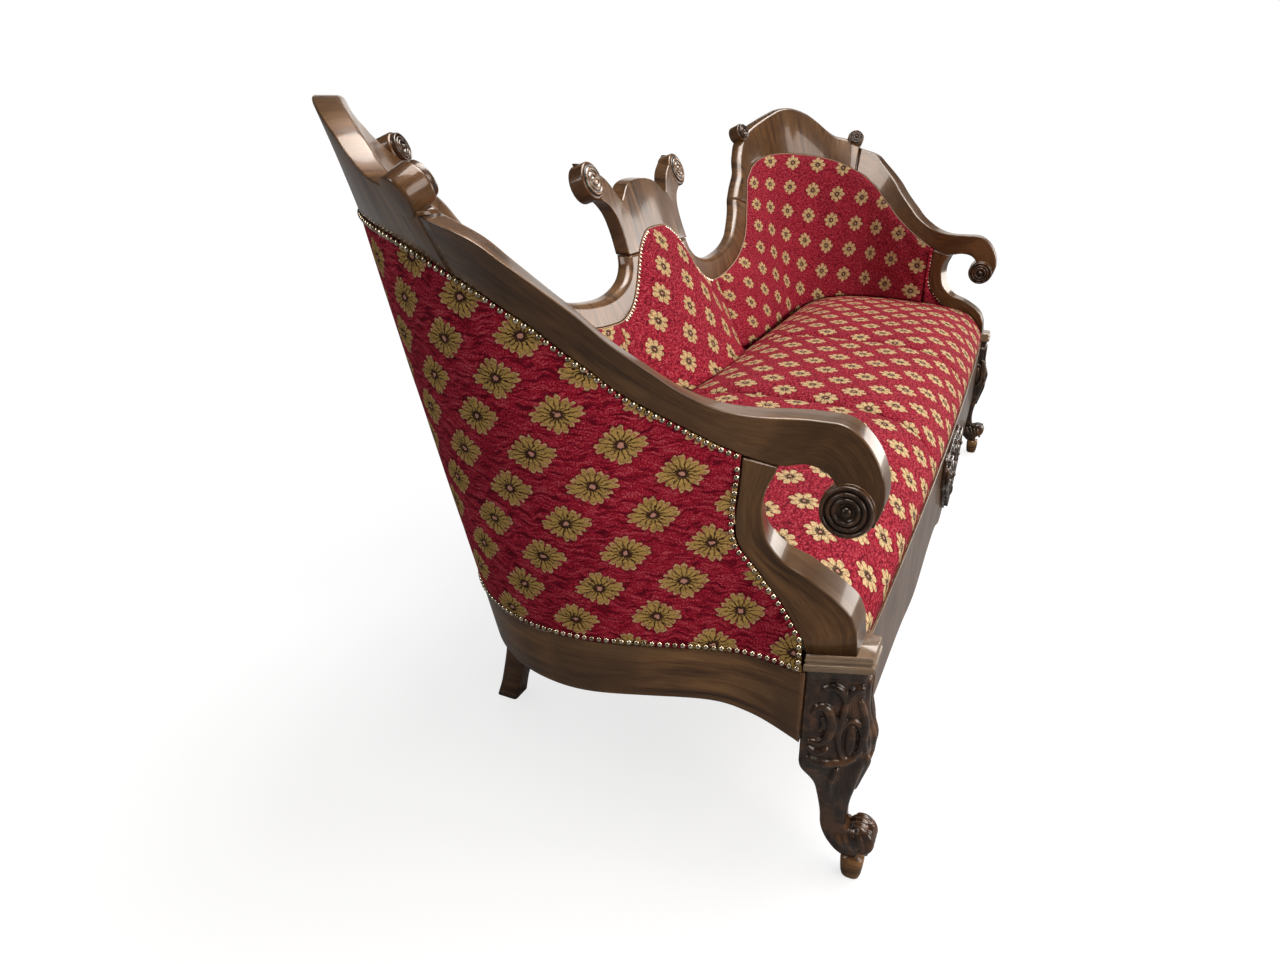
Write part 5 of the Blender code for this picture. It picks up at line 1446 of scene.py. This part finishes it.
# Brass nails and gimp
nails = {"pitch": 0.0104, "radius": 0.0042, "rise": 0.0034, "below": 0.0046, "above": 0.0056,
         "beside": 0.0125, "sink": 0.12, "sway": 0.14,
         "dome": [(0.45, 0.9), (0.78, 0.62), (0.95, 0.3), (1.0, -0.12)],
         "top": (0.418, 2.995, 500), "foot": (0.192, 2.995, 300), "post": [(0.178, 0.045), (0.176, 0.022)],
         "postTop": 0.384, "valley": (2.665, 2.93), "inside": (0.012, 0.0035), "insideShares": (0.13, 0.376),
         "valleyOff": (0.0052, 0.0018)}
cord = {"radius": 0.0013, "pitch": 0.006, "run": (0.43, 2.998), "off": (0.0006, 0.0008)}


def evenly(path, pitch):
    lengths = [0.0]
    for a, b in zip(path, path[1:]):
        lengths.append(lengths[-1] + (b[0] - a[0]).length)
    count = round(lengths[-1] / pitch)
    result, k = [], 0
    for n in range(count + 1):
        goal = lengths[-1] * n / count
        while k < len(path) - 2 and lengths[k + 1] < goal:
            k += 1
        t = (goal - lengths[k]) / (lengths[k + 1] - lengths[k])
        result.append((path[k][0].lerp(path[k + 1][0], t), path[k][1].lerp(path[k + 1][1], t).normalized()))
    return result


def onShell(u, z, depth=0.0, side=1, step=0.004):  # a place and the way out of it, or inwards with side -1
    ahead = min(3.0, u + step)
    along = shell(ahead, z, depth) - shell(ahead - 2 * step, z, depth)
    up = shell(u, z + step, depth) - shell(u, z - step, depth)
    return shell(u, z, depth), along.cross(up).normalized() * side


def stepped(first, last, count=300):
    return [mixed(first, last, k / count) for k in range(count + 1)]


def nailMesh(path):
    dome = [(0, 1), *nails["dome"], (0, -nails["sink"])]
    parts = []
    for place, axis in evenly(path, nails["pitch"]):
        sway = Vector((noise.random() - 0.5, noise.random() - 0.5, noise.random() - 0.5)) * nails["sway"]
        parts.append(turned([(r * nails["radius"], z * nails["rise"]) for r, z in dome], place,
                            (axis + sway).normalized(), 12))
    return joined(*parts)


def innerEdge(first, last, off, depth):
    return [onShell(u, nailHeight(u) - off, woodThick(u) + depth, -1) for u in stepped(first, last)]


def makeNails():
    noise.seed_set(4)
    rows = [(row[2], row[3]) for row in smoothRows(outline["stile"], 4) if row[3] < nails["postTop"]]
    paths = [[onShell(u, nailHeight(u) - nails["below"]) for u in stepped(*nails["top"])],
             [onShell(u, plan["railTop"] + nails["above"]) for u in stepped(*nails["foot"])],
             [onShell(u + nails["beside"], heightOf(share)) for u, share in rows + nails["post"]]]
    pair("nails", joined(*[nailMesh(path) for path in paths]), brass, None)


def makeGimp():
    line = [point for point, _ in evenly(innerEdge(*cord["run"], *cord["off"]), cord["pitch"])]
    pair("gimp", tubeMesh(line, [cord["radius"]] * len(line), 8, 1), gimp, "cloth")
    (low, high), (beside, off) = nails["insideShares"], nails["inside"]
    post = [onShell(row[2] + beside, heightOf(row[3]), woodThick(row[2]) + off, -1)
            for row in smoothRows(outline["stile"], 4) if low < row[3] < high]
    runs = [innerEdge(*nails["valley"], *nails["valleyOff"]), post]
    pair("inner_nails", joined(*[nailMesh(run) for run in runs]), brass, None)


# The cloth between the arm supports and the pads; rise is how far its face stands out at its two edges
lining = {"rows": 24, "columns": 6, "shares": (0.06, 0.388), "gap": 0.0045, "least": 0.002,
          "rise": (0.0005, 0.0155)}


def makeLinings():
    stile = [(row[3], row[2]) for row in smoothRows(outline["stile"], 4)]
    (lowShare, highShare), (foot, start) = lining["shares"], pads["start"]
    low, high = heightOf(lowShare), nailHeight(start) - cloth["gap"]

    def strip(column):
        s = column / lining["columns"]
        rows = []
        for row in range(lining["rows"] + 1):
            z = mixed(low, high, row / lining["rows"])
            share = (z - plan["railTop"]) / rise
            first = between(stile, min(share, highShare)) + lining["gap"]
            last = mixed(foot, start, share / highShare) - wood["gap"]
            u = mixed(min(first, last - lining["least"]), last, s)
            rows.append((shell(u, z, woodThick(start) + mixed(*lining["rise"], ease(s))),
                         shell(u, z, pads["backPlace"]), drawn(arcAt(u, z, 24), z)))
        return zip(*rows)

    pair("pad_lining", skin(*grids(range(lining["columns"] + 1), strip)), crimson("inside", 8),
         "crimson_fabric")


makeCovers()
makeSeat()
makeBackPads()
makeLinings()
makeNails()
makeGimp()
print("upholstery made")

# Pieces kept from the frame
keptLooks = {"post": beech, "block": beech, "stretcher": beech, "spring": springSteel, "webbing": jute,
             "hessian": jute, "dust": jute}
for name, piece in nodes.items():
    for word, look in keptLooks.items():
        if word in name:
            made = look(f"{name}_look")
            for place in piece.material_slots:
                place.material = made
            break


# Floor, light and camera
stageLook = {
    "floor": 60.0, "floorTone": 0.32, "floorGlow": 0.735, "world": 0.43, "mirror": 0.08,
    "sun": (1.55, (27.0, 0.0, 50.0), 34.0), "front": ((-1.1, -3.3, 2.3), (59, 0, -20), 3.0, 2.0, 100.0),
    # place, turn, width, height and strength of the lamps that only shine back from polish
    "panels": [((0.2, -0.3, 3.3), (0, 0, 0), 3.6, 1.7, 300.0),
               ((-1.2, -4.2, 2.2), (66, 0, -14), 3.0, 2.2, 170.0),
               ((6.5, 3.0, 1.9), (90, 0, 115), 9.0, 3.2, 110.0),
               ((-3.4, 2.4, 2.6), (60, 0, -125), 0.9, 2.0, 60.0),
               ((5.0, -3.2, 1.0), (90, 0, 64), 3.0, 2.4, 170.0)],
    "glow": (1.0, 0.93, 0.86),
    "camera": (-1.8712, -0.5211, 1.0355), "turn": (66.71, 0.0, -65.08), "lens": 23.27,
    "shift": (-0.0061, -0.0075), "sensor": 36.0, "clip": (0.02, 100.0),
}


def turnedTo(piece, turn):
    piece.rotation_euler = [radians(a) for a in turn]


def makeWorld():
    world = bpy.data.worlds.new("studio")
    bpy.context.scene.world = world
    world.use_nodes = True
    tree = world.node_tree
    tree.nodes.clear()
    paths = tree.nodes.new("ShaderNodeLightPath")

    def sky(strength):
        made = tree.nodes.new("ShaderNodeBackground")
        made.inputs["Color"].default_value = (1, 1, 1, 1)
        made.inputs["Strength"].default_value = strength
        return made.outputs[0]

    def choose(ray, without, seen):
        made = tree.nodes.new("ShaderNodeMixShader")
        for number, socket in enumerate((paths.outputs[ray], without, seen)):
            tree.links.new(socket, made.inputs[number])
        return made.outputs[0]

    surface = choose("Is Glossy Ray", sky(stageLook["world"]), sky(stageLook["mirror"]))
    surface = choose("Is Camera Ray", surface, sky(1.0))
    tree.links.new(surface, tree.nodes.new("ShaderNodeOutputWorld").inputs[0])


def makeFloor():
    half = stageLook["floor"] / 2
    mesh = bpy.data.meshes.new("floor")
    corners = [(-half, -half, 0), (half, -half, 0), (half, half, 0), (-half, half, 0)]
    mesh.from_pydata(corners, [], [(0, 1, 2, 3)])
    floor = linked("floor", mesh)
    shader = Shader("floor_look")
    plain = shader.node("ShaderNodeBsdfDiffuse", None, Color=[stageLook["floorTone"]] * 3)
    glow = shader.node("ShaderNodeEmission", None, Color=(1, 1, 1), Strength=stageLook["floorGlow"])
    dark = shader.node("ShaderNodeEmission", None, Color=(0, 0, 0), Strength=0.0)
    eye = shader.node("ShaderNodeLightPath", None, out=0)
    lift = shader.node("ShaderNodeMixShader", None, eye, dark, glow)
    shader.node("ShaderNodeOutputMaterial", None, shader.node("ShaderNodeAddShader", None, plain, lift))
    mesh.materials.append(shader.material)


def makeLamps():
    strength, turn, spread = stageLook["sun"]
    lamp = bpy.data.lights.new("sun", "SUN")
    lamp.energy, lamp.angle = strength, radians(spread)
    turnedTo(linked("sun", lamp), turn)
    lamps = [*stageLook["panels"], stageLook["front"]]
    for number, (place, turn, width, height, strength) in enumerate(lamps):
        lamp = bpy.data.lights.new(f"panel_{number}", "AREA")
        lamp.shape, lamp.size, lamp.size_y, lamp.energy = "RECTANGLE", width, height, strength
        lamp.color = stageLook["glow"]
        panel = linked(f"panel_{number}", lamp)
        panel.location = place
        turnedTo(panel, turn)
        panel.visible_camera = False
        panel.visible_diffuse = number == len(lamps) - 1
        panel.visible_glossy = not panel.visible_diffuse


def makeCamera():
    lens = bpy.data.cameras.new("camera")
    lens.sensor_width, lens.lens = stageLook["sensor"], stageLook["lens"]
    lens.shift_x, lens.shift_y = stageLook["shift"]
    lens.clip_start, lens.clip_end = stageLook["clip"]
    camera = linked("camera", lens)
    camera.location = stageLook["camera"]
    turnedTo(camera, stageLook["turn"])
    bpy.context.scene.camera = camera
    bpy.context.scene.view_settings.view_transform = "Standard"


makeWorld()
makeFloor()
makeLamps()
makeCamera()
print("stage made")
